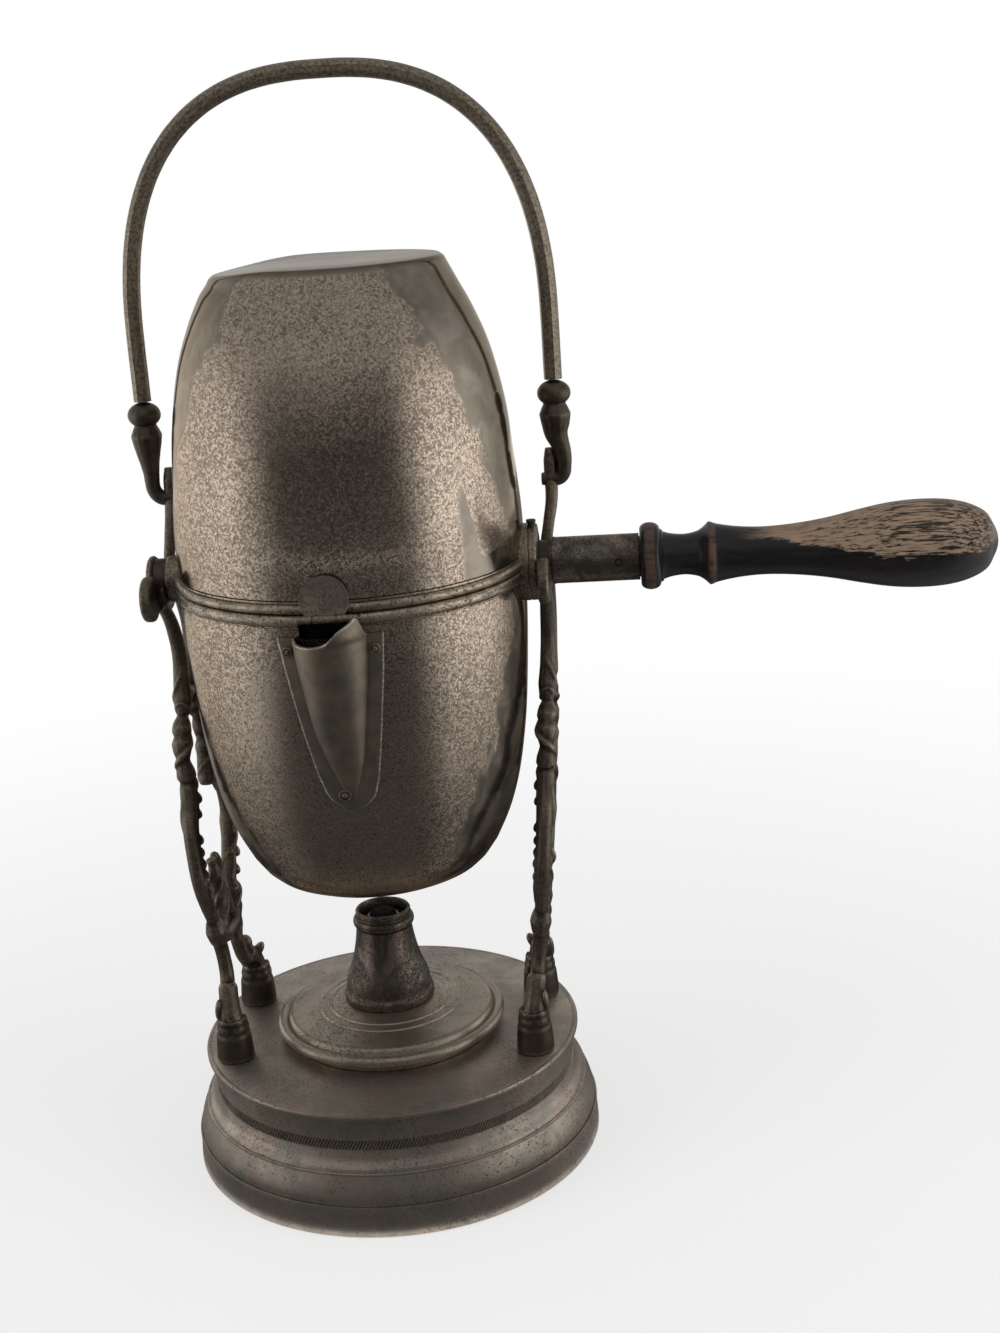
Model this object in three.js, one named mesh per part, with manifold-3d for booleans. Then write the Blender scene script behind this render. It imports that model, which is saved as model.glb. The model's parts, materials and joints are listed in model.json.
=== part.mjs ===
// Tilting egg-shaped coffee pot on a spirit-lamp stand, in millimetres, +Z up.
// The origin is the centre of the base's underside. The handle points along +X, the spout along -Y.
import * as THREE from 'three';
import * as BufferGeometryUtils from 'three/addons/utils/BufferGeometryUtils.js';
import Module from 'manifold-3d';

const wasm = await Module();
wasm.setup();

// Driving dimensions

const gap = 0.3; // between neighbouring solids
const coarse = 12; // sides of small round pieces
const medium = 22; // sides of middle-sized round pieces
const fine = 32; // sides of the largest round pieces

// Base and lamp
const baseRadius = 80;
const panWall = 0.8;
const panFloor = 1;
const panHeight = 8.6;
const baseHeight = 47;
const baseWall = 1.2;
const waistInset = 7.8;
const lipOverhang = 2.4;
const plateRadius = 45.4;
const plateRise = 13;
const plateWall = 1;
const coneFootRadius = 17.7;
const coneTopRadius = 10.8;
const coneHeight = 30;
const coneWall = 1;
const ringRadius = 12.1;
const ringHeight = 7;
const wickTubeRadius = 6.4;
const wickTubeWall = 0.8;
const wickRise = 2;
const reservoirRadius = 34;
const reservoirDepth = 30;
const reservoirWall = 0.9;
const reservoirPlay = 4; // round the cup, in the base's mouth
const flameGap = 19.6; // between the burner and the hanging egg

// Side frames and feet
const footRadius = 7.3;
const footHeight = 17;
const footSpread = 24.8;
const spigotRadius = 3.2;
const spigotDepth = 9;
const screwRadius = 1.6;
const screwHeadRadius = 3.6;
const footInset = 15.4; // of the feet's centres from the base's lip
const frameInset = 1.6; // of the casting's middle plane from its foot sockets
const leanBend = 0.69; // 0 leans straight, 1 curves all the way
const seatPlay = 0.7;
const seatStrand = 2.3;
const seatHalfWidth = 1.9;
const buttonRadius = 8.5;
const buttonThickness = 4.6;
const buttonPlay = 0.2;
const buttonDrop = 3.5;
const eyeBack = 21;
const eyeRise = 27;
const eyeHoleRadius = 3.4;
const eyeRadius = 5.8;
const eyeThickness = 3.4;
const eyeOut = { left: -1, right: 2.8 }; // from the fork's middle plane

// Pot
const eggRadius = 64.9;
const potWall = 1;
const beadBulge = 1.6;
const boilerHeight = 115;
const boilerBeadHeight = 4.6;
const serverDepth = 118;
const serverBeadHeight = 4.8;
const neckInset = 1.7;
const neckWall = 1;
const neckDepth = 9.5;
const twistPlay = 0.6; // round what turns with the server half
const basketPlay = 5.2;
const basketDepth = 26;
const basketWall = 0.8;
const lidOverlap = 2.5; // past the basket's wall
const lidHeight = 2.4;
const lidKnobRadius = 5;
const lidKnobHeight = 6.5;
const sieveHoleRadius = 0.7;
const sieveRings = [4, 8];

// Trunnions and handle
const journalRadius = 7.8;
const collarRadius = 14.5;
const collarReach = 3.5; // past the beads
const lugLip = 1;
const headLip = 1.1;
const headThickness = 2.6;
const ferruleLip = 1;
const ferruleWall = 0.8;
const ferruleLength = 32.6;
const ferrulePinInset = 7.6;
const ferrulePinRadius = 1.2;
const socketPlugLength = 9;
const gripLength = 131;
const gripRadius = 15.9;
const gripBeadRadius = 12.3;
const gripBeadLength = 7.2;
const gripFlare = 26.6; // from the ferrule to the sharp flare
const gripWaistRadius = 7.4;
const collarScrewRadius = 1.3;

// Spout and flap
const spoutBottom = -72;
const spoutTop = -1.6;
const spoutHalfWidth = 12.6;
const spoutReach = 16.5;
const spoutWall = 1;
const flangeHalfWidth = 18.6;
const tongueHalfWidth = 10.6;
const tongueRound = 19;
const flangeThickness = 0.9;
const mouthHalfWidth = 9.2;
const mouthDepth = 9;
const pourSlotHalfWidth = 7;
const pourSlotHeight = 24;
const rivetRadius = 1.7;
const rivetInset = 3.4;
const hingeStandoff = 5.1;
const hingeHalfLength = 9.8;
const hingeRadius = 1.4;
const hingePinRadius = 0.6;
const flapRadius = 10;
const flapRise = 5.6;
const flapThickness = 0.9;
const flapLean = 17;

// Bail
const bailOut = 5.7; // from the fork's middle plane
const bailRise = 154;
const bailShoulder = 58;
const bailSquareness = 2.5;
const bailRodRadius = 3.4;
const ballRadius = 6.35;
const ballHalfHeight = 4.9;
const ballRise = 32.5;
const hookConeRadius = 6.1;
const hookRodRadius = 2.8;
const hookConeHeight = 11.4;
const hookStemOut = { left: -0.2, right: 2.3 }; // from the bail's legs
const hookOverhang = 3.4;

// Sizes that follow from these
const waistRadius = baseRadius - waistInset;
const lipRadius = waistRadius + lipOverhang;
const baseMouthRadius = reservoirRadius + reservoirPlay;
const plateLow = baseHeight + gap;
const plateTop = plateLow + plateRise;
const coneTop = plateTop + gap + coneHeight;
const ringTop = coneTop + gap + ringHeight;
const pivotHeight = ringTop + flameGap + Math.max(serverDepth, boilerHeight);
const beadRadius = eggRadius + beadBulge;
const neckRadius = eggRadius - neckInset;
const basketRadius = neckRadius - neckWall - basketPlay;
const collarEnd = beadRadius + collarReach;
const lugRadius = journalRadius + lugLip;
const headRadius = journalRadius + headLip;
const ferruleRadius = journalRadius + ferruleLip;
const forkX = collarEnd + seatPlay + seatHalfWidth;
const buttonForward = buttonRadius + ferruleRadius + buttonPlay;
const eyeX = { left: forkX + eyeOut.left, right: forkX + eyeOut.right };
const bailHalfWidth = forkX + bailOut;
const hingeForward = beadRadius + hingeStandoff;
const footX = lipRadius - footInset;
const footTop = baseHeight + footHeight;
const seatRadius = journalRadius + gap + seatStrand;

// Colours
const agedPlate = { color: 0x6b6257, roughness: 0.42, metalness: 0.9 };
const dullPlate = { color: 0x4e463c, roughness: 0.55, metalness: 0.85 };
const castMetal = { color: 0x453d32, roughness: 0.5, metalness: 0.85 };
const hiddenTin = { color: 0x8a867c, roughness: 0.4, metalness: 0.9 };
const blackWood = { color: 0x1d1714, roughness: 0.35, metalness: 0 };
const cotton = { color: 0xcbbfa2, roughness: 0.95, metalness: 0 };

// Geometry helpers

const tau = Math.PI * 2;
const radians = THREE.MathUtils.degToRad;
const lerp = THREE.MathUtils.lerp;

function signedVolume(positions, triangles) {
  let volume = 0;
  const corners = [new THREE.Vector3(), new THREE.Vector3(), new THREE.Vector3()];
  for (let i = 0; i < triangles.length; i += 3) {
    corners.forEach((corner, k) => corner.fromArray(positions, triangles[i + k] * 3));
    volume += corners[0].dot(corners[1].clone().cross(corners[2])) / 6;
  }
  return volume;
}

// A closed geometry as a solid, with its shared vertices merged and its faces outward.
function toSolid(geometry) {
  const bare = geometry.clone();
  bare.deleteAttribute('normal');
  bare.deleteAttribute('uv');
  const merged = BufferGeometryUtils.mergeVertices(bare, 1e-4);
  const positions = Float32Array.from(merged.attributes.position.array);
  const triangles = [];
  for (let i = 0; i < merged.index.count; i += 3) {
    const [a, b, c] = [0, 1, 2].map((k) => merged.index.getX(i + k));
    if (a !== b && b !== c && c !== a) triangles.push(a, b, c);
  }
  if (signedVolume(positions, triangles) < 0) triangles.reverse();
  return new wasm.Manifold(new wasm.Mesh({
    numProp: 3,
    vertProperties: positions,
    triVerts: Uint32Array.from(triangles),
  }));
}

function toGeometry(solid) {
  const mesh = solid.getMesh();
  const geometry = new THREE.BufferGeometry();
  geometry.setAttribute('position', new THREE.BufferAttribute(Float32Array.from(mesh.vertProperties), 3));
  geometry.setIndex(Array.from(mesh.triVerts));
  geometry.computeVertexNormals();
  return geometry;
}

function join(solids) {
  return solids.reduce((whole, solid) => whole.add(solid));
}

function cut(solid, cutters) {
  return cutters.reduce((whole, cutter) => whole.subtract(cutter), solid);
}

// A closed or axis-to-axis profile of [radius, height] turned about Z.
function turned(profile, sides) {
  const points = profile.map(([radius, height]) => new THREE.Vector2(radius, height));
  return new THREE.LatheGeometry(points, sides).rotateX(Math.PI / 2);
}

// The same about X, its heights running along +X.
function turnedAlongX(profile, sides) {
  return turned(profile, sides).rotateY(Math.PI / 2);
}

function ringProfile(inner, outer, low, high) {
  return [[inner, low], [outer, low], [outer, high], [inner, high], [inner, low]];
}

function discProfile(radius, low, high) {
  return [[0, low], [radius, low], [radius, high], [0, high]];
}

// A smooth run of [radius, height] points through a few given ones.
function smoothRun(points, steps) {
  const curve = new THREE.SplineCurve(points.map(([x, y]) => new THREE.Vector2(x, y)));
  return curve.getPoints(steps).map((point) => [point.x, point.y]);
}

// Half a rounded bead, bulging outward between two heights.
function beadRun(inner, outer, low, high, steps) {
  const run = [];
  for (let i = 0; i <= steps; i += 1) {
    const turn = (Math.PI * i) / steps;
    run.push([lerp(inner, outer, Math.sin(turn)), lerp(low, high, (1 - Math.cos(turn)) / 2)]);
  }
  return run;
}

// Rings of points, all with the same count, joined into one closed skin.
function loft(rings) {
  const sides = rings[0].length;
  const positions = [];
  const triangles = [];
  rings.forEach((ring) => ring.forEach((point) => positions.push(...point.toArray())));
  for (let r = 0; r + 1 < rings.length; r += 1) {
    for (let s = 0; s < sides; s += 1) {
      const here = r * sides + s;
      const next = r * sides + ((s + 1) % sides);
      triangles.push(here, next, next + sides, here, next + sides, here + sides);
    }
  }
  const last = (rings.length - 1) * sides;
  for (let s = 1; s + 1 < sides; s += 1) {
    triangles.push(0, s + 1, s);
    triangles.push(last, last + s, last + s + 1);
  }
  const geometry = new THREE.BufferGeometry();
  geometry.setAttribute('position', new THREE.Float32BufferAttribute(positions, 3));
  geometry.setIndex(triangles);
  return geometry;
}

// A rod along a smooth line of {at, radius, flat} stations; flat narrows it across X.
function taperedRod(stations, steps, sides) {
  const line = new THREE.CatmullRomCurve3(stations.map((station) => station.at), false, 'centripetal');
  const rings = [];
  for (let i = 0; i <= steps; i += 1) {
    const along = i / steps;
    const centre = line.getPoint(along);
    const forward = line.getTangent(along);
    const place = along * (stations.length - 1);
    const from = Math.min(Math.floor(place), stations.length - 2);
    const radius = lerp(stations[from].radius, stations[from + 1].radius, place - from);
    const flat = lerp(stations[from].flat ?? 1, stations[from + 1].flat ?? 1, place - from);
    const across = new THREE.Vector3(1, 0, 0).addScaledVector(forward, -forward.x);
    if (across.lengthSq() < 0.02) across.set(0, 1, 0);
    across.normalize();
    const up = forward.clone().cross(across).normalize();
    const ring = [];
    for (let s = 0; s < sides; s += 1) {
      const turn = (tau * s) / sides;
      const point = centre.clone().addScaledVector(across, Math.cos(turn) * radius * flat);
      ring.push(point.addScaledVector(up, Math.sin(turn) * radius));
    }
    rings.push(ring);
  }
  return loft(rings);
}

function block(from, to) {
  const size = to.map((value, i) => value - from[i]);
  const centre = to.map((value, i) => (value + from[i]) / 2);
  return new THREE.BoxGeometry(...size).translate(...centre);
}

// Adds one named piece to its group.
function addPiece(group, name, shape, look) {
  const geometry = shape.isBufferGeometry ? toGeometry(toSolid(shape)) : toGeometry(shape);
  const mesh = new THREE.Mesh(geometry, new THREE.MeshStandardMaterial(look));
  mesh.name = name;
  group.add(mesh);
  return mesh;
}

// Half of the egg's outline, as [radius, distance from the seam]. Its belly is given by insets from the
// full radius at distances from the seam, its crown and its edge at distances back from its end.
function eggOutline(start, end, belly, crown, edge) {
  const wall = [[0, start], ...belly, ...crown.map(([inset, back]) => [inset, end - back])];
  const run = smoothRun(wall.map(([inset, distance]) => [eggRadius - inset, distance]), 9);
  return run.concat(edge.map(([inset, back]) => [eggRadius - inset, end - back]));
}

const boilerOutline = eggOutline(boilerBeadHeight + gap, boilerHeight,
  [[0.1, 20], [1.7, 40]], [[3.7, 55], [7.7, 35], [13.2, 20], [18.1, 10]], [[21.5, 2.2], [23.3, 0]]);
const serverOutline = eggOutline(serverBeadHeight + gap, serverDepth,
  [[0.3, 20], [1.4, 40]], [[3.1, 58], [6.3, 38], [10.7, 23], [16.3, 11]], [[21.3, 4], [26.4, 0]]);

// The outline's radius at a distance from the seam.
function outlineRadius(outline, distance) {
  const after = outline.findIndex(([, height]) => height >= distance);
  if (after <= 0) return outline[0][0];
  const [lowRadius, low] = outline[after - 1];
  const [highRadius, high] = outline[after];
  return lerp(lowRadius, highRadius, (distance - low) / (high - low));
}

// A half of the egg grown by some margin, as one full solid from the seam to its end.
function fullHalf(outline, margin, direction) {
  const end = outline[outline.length - 1][1] + margin;
  const grown = outline.map(([radius, height]) => [radius + margin, height]);
  const profile = [[0, 0], [outline[0][0] + margin, 0], ...grown, [0, end]];
  return toSolid(turned(profile.map(([radius, height]) => [radius, height * direction]), fine));
}

// One half shell, open at the seam.
function halfShell(outline, direction) {
  const inside = outline.map(([radius, height], i) => {
    const atEnd = i === outline.length - 1;
    return [radius - potWall, atEnd ? height - potWall : Math.min(height, outline.at(-1)[1] - potWall)];
  });
  const outerRun = [...outline, [0, outline.at(-1)[1]]];
  const innerRun = [...inside, [0, outline.at(-1)[1] - potWall]].reverse();
  const profile = [...innerRun, ...outerRun].map(([radius, height]) => [radius, height * direction]);
  return toSolid(turned(profile, fine));
}

// Base, lamp and burner

const stand = new THREE.Group();

function makeBase() {
  const panInner = baseRadius + gap;
  const panOuter = panInner + panWall;
  addPiece(stand, 'base_pan', turned([
    [0, 0], [panOuter - 1, 0], [panOuter, 1], [panOuter, panHeight], [panInner, panHeight],
    [panInner, panFloor], [0, panFloor],
  ], fine), dullPlate);
  const foot = panFloor + gap;
  const lipLow = baseHeight - 2.6;
  const outside = [
    [baseRadius, foot], [baseRadius, 15.5], [baseRadius - 0.8, 19], [baseRadius - 2.6, 23.4],
    [waistRadius + 2.6, 26.8], [waistRadius + 0.8, 30], [waistRadius, 33.5], [waistRadius, lipLow - 1],
    [lipRadius, lipLow], [lipRadius, baseHeight - 0.8], [lipRadius - 0.8, baseHeight],
    [baseMouthRadius, baseHeight],
  ];
  const inside = [
    [baseMouthRadius, baseHeight - baseWall], [waistRadius - baseWall, baseHeight - baseWall],
    [waistRadius - baseWall, 30], [waistRadius + 1, 26], [baseRadius - baseWall - 1.6, 21],
    [baseRadius - baseWall, 15.5], [baseRadius - baseWall, foot], [baseRadius, foot],
  ];
  const holes = footPlaces().map(({ x, y }) => toSolid(turned(
    discProfile(screwRadius + gap, baseHeight - 2 * baseWall, baseHeight + 1), coarse).translate(x, y, 0)));
  addPiece(stand, 'base_shell', cut(toSolid(turned([...outside, ...inside], fine)), holes), dullPlate);
}

function makeLamp() {
  const hole = wickTubeRadius + gap;
  const crown = coneFootRadius + 2;
  const slope = plateRadius - 6.4;
  const shoulder = lerp(crown, slope, 0.53);
  addPiece(stand, 'burner_plate', turned([
    [hole, plateTop - plateWall], [crown, plateTop - plateWall], [shoulder, plateTop - 3.6 - plateWall],
    [slope, plateLow + 4.6], [plateRadius - 4.6, plateLow + 1.4], [plateRadius - 3, plateLow],
    [plateRadius - 1, plateLow], [plateRadius, plateLow + 1.2], [plateRadius - 0.3, plateLow + 2.6],
    [plateRadius - 1.6, plateLow + 3.2], [plateRadius - 3, plateLow + 2.6],
    [plateRadius - 4.6, plateLow + 3.2], [slope, plateLow + 5.8], [shoulder, plateTop - 3.6],
    [crown, plateTop], [hole, plateTop], [hole, plateTop - plateWall],
  ], fine), dullPlate);
  const foot = plateTop + gap;
  const bell = [[0.96, 0.13], [0.78, 0.3], [0.41, 0.53], [0.13, 0.78], [0, 1]];
  const outer = smoothRun(bell.map(([flare, rise]) => [
    lerp(coneTopRadius, coneFootRadius, flare), foot + coneHeight * rise]), 6);
  const inner = outer.map(([radius, height]) => [radius - coneWall, height]).reverse();
  addPiece(stand, 'burner_cone', turned([
    [coneFootRadius - coneWall, foot], [coneFootRadius, foot], [coneFootRadius, foot + 3.4], ...outer,
    ...inner, [coneFootRadius - coneWall, foot],
  ], medium), agedPlate);
  const ringLow = coneTop + gap;
  const ringBore = coneTopRadius - coneWall;
  addPiece(stand, 'burner_ring', turned([
    [ringBore, ringLow], ...beadRun(coneTopRadius, ringRadius, ringLow, ringLow + 4.4, 4),
    [coneTopRadius, ringTop - 0.6], [coneTopRadius - 0.5, ringTop], [ringBore, ringTop],
    [ringBore, ringLow],
  ], medium), agedPlate);
  const tubeLow = plateTop - reservoirDepth;
  const tubeTop = ringTop - 3;
  const tube = ringProfile(wickTubeRadius - wickTubeWall, wickTubeRadius, tubeLow, tubeTop);
  addPiece(stand, 'wick_tube', turned(tube, coarse), hiddenTin);
  const wickRadius = wickTubeRadius - wickTubeWall - gap;
  addPiece(stand, 'wick', turned([
    [0, tubeLow - 4], [wickRadius, tubeLow - 4], [wickRadius, tubeTop + 0.5],
    [wickRadius - 1.2, tubeTop + wickRise], [0, tubeTop + wickRise + 0.4],
  ], coarse), cotton);
  const cupTop = baseHeight - baseWall - gap;
  const cupLow = baseHeight - reservoirDepth - 1;
  addPiece(stand, 'lamp_reservoir', turned([
    [0, cupLow], [reservoirRadius - 3, cupLow], [reservoirRadius, cupLow + 3],
    [reservoirRadius, cupTop - 1], [baseMouthRadius + 5, cupTop - 1], [baseMouthRadius + 5, cupTop],
    [reservoirRadius - reservoirWall, cupTop], [reservoirRadius - reservoirWall, cupLow + 3.4],
    [reservoirRadius - 3.4, cupLow + reservoirWall], [0, cupLow + reservoirWall],
  ], medium), hiddenTin);
}

// Side frames: each is one casting between two foot sockets and the pot's trunnion

// How far out the casting's middle plane lies at a height; above the fork it leans to its eye.
function frameX(height, side) {
  const drop = (pivotHeight - height) / (pivotHeight - baseHeight);
  if (drop > 0) return lerp(forkX, footX - frameInset, lerp(drop, drop * drop, leanBend));
  return lerp(forkX, eyeX[side], THREE.MathUtils.smoothstep(height - pivotHeight, 4, eyeRise - 8));
}

function footPlaces() {
  const places = [];
  for (const [side, across] of [['left', -1], ['right', 1]]) {
    for (const [end, along] of [['front', -1], ['rear', 1]]) {
      places.push({ name: `foot_${end}_${side}`, x: footX * across, y: footSpread * along });
    }
  }
  return places;
}

function makeFeet() {
  const low = gap;
  const leafLow = 9.5;
  for (const place of footPlaces()) {
    const body = toSolid(turned([
      [0, low], [footRadius, low], [footRadius - 0.3, leafLow], [footRadius + 0.6, leafLow + 1.5],
      [footRadius - 1.4, leafLow + 3.5], [footRadius - 1.8, footHeight], [0, footHeight],
    ], coarse));
    const leaves = [0, 1, 2, 3].map((i) => {
      const turn = (tau * (i + 0.5)) / 4;
      const leaf = new THREE.SphereGeometry(2.5, 4, 2).scale(0.8, 0.8, 1.3);
      const reach = footRadius - 2.1;
      return toSolid(leaf.translate(reach * Math.cos(turn), reach * Math.sin(turn), leafLow + 3));
    });
    const bore = discProfile(spigotRadius + gap, footHeight - spigotDepth, footHeight + 5);
    const screwHole = discProfile(screwRadius + gap, -1, footHeight - spigotDepth - 1.5);
    const holes = [bore, screwHole].map((profile) => toSolid(turned(profile, coarse)));
    const shape = cut(join([body, ...leaves]), holes);
    const foot = addPiece(stand, place.name, shape, castMetal);
    foot.position.set(place.x, place.y, baseHeight);
  }
  const headTop = -baseWall - gap;
  const screwEnd = footHeight - spigotDepth - 2;
  for (const place of footPlaces()) {
    const screw = addPiece(stand, place.name.replace('foot', 'foot_screw'), turned([
      [0, headTop - 2], [screwHeadRadius - 1, headTop - 2], [screwHeadRadius, headTop - 1],
      [screwHeadRadius, headTop], [screwRadius, headTop], [screwRadius, screwEnd], [0, screwEnd],
    ], 8), hiddenTin);
    screw.position.set(place.x, place.y, baseHeight);
  }
}

// Strand lines as [distance back along Y, percent of the rise from the foot sockets to the pivot, radius,
// flatness across X]
const frontStrand = [
  [-9.5, 95.3, 2.4, 0.78], [-1, 92.5, 2.6, 0.7], [4.5, 87.5, 2.7, 0.8], [5.6, 82.2, 2.9, 0.9],
  [2, 75.2, 3.1, 1], [-3.5, 70, 3.5, 1], [-8.5, 64.7, 3.3, 1], [-11, 57.1, 2.9, 1], [-17, 49.6, 2.8, 1],
  [-23, 41.4, 2.8, 1], [-24.8, 33.2, 2.7, 1], [-21.8, 25.7, 2.7, 1], [-18.4, 19.2, 3.2, 1],
  [-17.4, 13.4, 2.9, 1], [-18.6, 7, 2.9, 1], [-footSpread + 2.8, 2.3, 3.2, 1],
  [-footSpread, -0.6, 3.2, 1],
];
const rearStrand = [
  [10.2, 97.7, 2.3, 0.8], [15, 95.9, 2.4, 0.78], [23, 90.4, 2.6, 0.85], [27, 83.4, 2.7, 0.9],
  [23, 76.4, 2.8, 1], [16, 70.6, 3, 1], [17, 64.7, 2.8, 1], [23, 56.6, 2.7, 1], [28, 48.4, 2.7, 1],
  [33.6, 41.4, 2.7, 1], [31, 33.8, 2.6, 1], [24.5, 28, 2.7, 1], [15, 21.6, 2.9, 1], [8, 16.3, 3.2, 1],
  [7, 11.1, 3, 1], [13.5, 4.7, 2.9, 1], [footSpread - 2, 1.7, 3.2, 1], [footSpread, -0.6, 3.2, 1],
];
const legBridge = [[-18, 18.1, 2.8, 1], [-9, 15.7, 3, 1], [0, 15.2, 3, 1], [8, 15.7, 2.8, 1]];
const waistBridge = [[-4, 70, 3, 1], [5, 71.7, 2.6, 1], [15, 71.1, 2.8, 1]];
const leafBud = [
  [-8, 16.3, 2.6, 0.9], [-7, 22.2, 3.6, 0.7], [-3.5, 28, 3.8, 0.7], [-2.5, 33.2, 2.8, 0.8],
  [-6, 36.7, 1.8, 0.9],
];
const dropBud = [[15, 66.5, 2, 0.9], [11.5, 60.6, 2.6, 0.9], [10.5, 56, 3.2, 0.9], [11, 53.1, 1.6, 0.9]];
const knobs = [
  [-6, 67.1, 4.1], [-9.6, 61.8, 4.2], [-10.6, 56.6, 3.8], [-19.4, 19.2, 5], [32, 42.6, 3.9],
  [10.5, 18.4, 3.8],
];
const footLeaves = [[-footSpread - 3, 2.3], [footSpread + 3, 2.3]];

function strandHeight(percent) {
  return lerp(footTop, pivotHeight, percent / 100);
}

function drawnStrand(stations, side) {
  const raised = stations.map(([back, percent, ...section]) => [back, strandHeight(percent), ...section]);
  return strandRod(raised, side);
}

function strandRod(stations, side) {
  const placed = stations.map(([back, height, radius, flat]) => ({
    at: new THREE.Vector3(frameX(height, side), back, height), radius, flat,
  }));
  return toSolid(taperedRod(placed, stations.length - 1, 6));
}

function makeFrame(side, across) {
  const strands = [frontStrand, rearStrand, legBridge, waistBridge, leafBud, dropBud]
    .map((strand) => drawnStrand(strand, side));
  const seat = [];
  for (let i = 0; i <= 8; i += 1) {
    const turn = radians(lerp(-172, -8, i / 8));
    const place = [seatRadius * Math.cos(turn), pivotHeight + seatRadius * Math.sin(turn)];
    seat.push([...place, seatStrand, seatHalfWidth / seatStrand]);
  }
  const eye = [eyeBack, pivotHeight + eyeRise];
  const post = [
    [9.6, pivotHeight - 5, 2.3, 0.82], [11.4, pivotHeight + 3, 2.3, 0.8],
    [13.6, pivotHeight + 11, 2.2, 0.8], [17.6, pivotHeight + 20, 2.5, 0.75],
    [eye[0], eye[1], 3, 0.56], [eye[0] + 1.4, eye[1] + 7, 3.2, 0.5], [eye[0] + 1.8, eye[1] + 11.6, 1.6, 0.8],
  ];
  const eyeCheek = turnedAlongX(discProfile(eyeRadius, -eyeThickness / 2, eyeThickness / 2), coarse)
    .translate(eyeX[side], eye[0], eye[1]);
  const button = turnedAlongX([
    [0, -buttonThickness / 2], [buttonRadius - 1.4, -buttonThickness / 2],
    [buttonRadius, -buttonThickness / 4], [buttonRadius, buttonThickness / 4],
    [buttonRadius - 1.4, buttonThickness / 2], [0, buttonThickness / 2 + 0.5],
  ], coarse).translate(forkX + 0.9, -buttonForward, pivotHeight - buttonDrop);
  const onFrame = (shape, back, percent) => {
    const height = strandHeight(percent);
    return shape.translate(frameX(height, side), back, height);
  };
  const bumps = knobs.map(([back, percent, radius]) => onFrame(
    new THREE.SphereGeometry(radius, 6, 4).scale(0.95, 1, 0.9), back, percent));
  const finials = footLeaves.map(([back, percent]) => onFrame(
    new THREE.SphereGeometry(2.6, 5, 4).scale(0.9, 0.9, 2.8), back, percent));
  const spigots = [-footSpread, footSpread].map((back) => turned(
    discProfile(spigotRadius, footTop - spigotDepth + gap, footTop + 3), 8)
    .translate(footX, back, 0));
  const casting = join([
    ...strands, strandRod(seat, side), strandRod(post, side),
    ...[eyeCheek, button, ...bumps, ...finials, ...spigots].map(toSolid),
  ]);
  const seatCut = turnedAlongX(discProfile(journalRadius + gap, forkX - 12, forkX + 12), medium);
  const eyeCut = turnedAlongX(discProfile(eyeHoleRadius, eyeX[side] - 8, eyeX[side] + 8), coarse);
  const roundSpigot = ringProfile(spigotRadius + 0.001, footRadius + 6, baseHeight, footTop + gap);
  const shape = cut(casting, [
    toSolid(seatCut.translate(0, 0, pivotHeight)),
    toSolid(eyeCut.translate(0, eye[0], eye[1])),
    ...[-footSpread, footSpread].map((back) => toSolid(
      turned(roundSpigot, coarse).translate(footX, back, 0))),
  ]);
  const placed = across > 0 ? shape : toSolid(toGeometry(shape).scale(-1, 1, 1));
  addPiece(stand, `side_frame_${side}`, placed, castMetal);
}

makeBase();
makeLamp();
makeFeet();
makeFrame('left', -1);
makeFrame('right', 1);

// Pot: everything here is measured from the pivot, which lies on the seam

const boiler = new THREE.Group();
boiler.position.z = pivotHeight;
const beadLow = gap / 2;

function sieve(radius, low, high) {
  const holes = [];
  sieveRings.forEach((count, ring) => {
    for (let i = 0; i < count; i += 1) {
      const turn = (tau * i) / count;
      const reach = (radius * (ring + 1)) / (sieveRings.length + 1);
      holes.push(toSolid(turned(discProfile(sieveHoleRadius, low - 1, high + 1), 6)
        .translate(reach * Math.cos(turn), reach * Math.sin(turn), 0)));
    }
  });
  return holes;
}

function makeBoiler() {
  addPiece(boiler, 'boiler_shell', halfShell(boilerOutline, 1), agedPlate);
  const shellInner = outlineRadius(boilerOutline, 0) - potWall;
  const bead = beadRun(beadRadius - 1.6, beadRadius, beadLow, boilerBeadHeight - 0.9, 4);
  addPiece(boiler, 'boiler_rim', turned([
    [neckRadius - neckWall, -neckDepth], [neckRadius, -neckDepth], [neckRadius, beadLow], ...bead,
    [beadRadius - 1.1, boilerBeadHeight - 0.8], [beadRadius - 1.1, boilerBeadHeight],
    [neckRadius - neckWall, boilerBeadHeight], [neckRadius - neckWall, -neckDepth],
  ], fine), agedPlate);
  const flangeLow = boilerBeadHeight + gap;
  const cupLow = flangeLow - basketDepth;
  const cup = toSolid(turned([
    [0, cupLow], [basketRadius, cupLow], [basketRadius, flangeLow], [shellInner - gap, flangeLow],
    [shellInner - gap, flangeLow + basketWall], [basketRadius - basketWall, flangeLow + basketWall],
    [basketRadius - basketWall, cupLow + basketWall], [0, cupLow + basketWall],
  ], medium));
  addPiece(boiler, 'coffee_basket', cut(cup, sieve(basketRadius, cupLow, cupLow + basketWall)), hiddenTin);
  const lidRadius = basketRadius + lidOverlap;
  const lidLow = flangeLow + basketWall + gap;
  const lid = toSolid(turned([
    [0, lidLow], [lidRadius, lidLow], [lidRadius, lidLow + lidHeight],
    [lidRadius - basketWall, lidLow + lidHeight], [lidRadius - basketWall, lidLow + basketWall],
    [lidKnobRadius, lidLow + basketWall], [lidKnobRadius, lidLow + lidKnobHeight - 1.5],
    [lidKnobRadius - 2, lidLow + lidKnobHeight], [0, lidLow + lidKnobHeight],
  ], medium));
  addPiece(boiler, 'basket_lid', cut(lid, sieve(basketRadius, lidLow, lidLow + basketWall)), hiddenTin);
}

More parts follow.
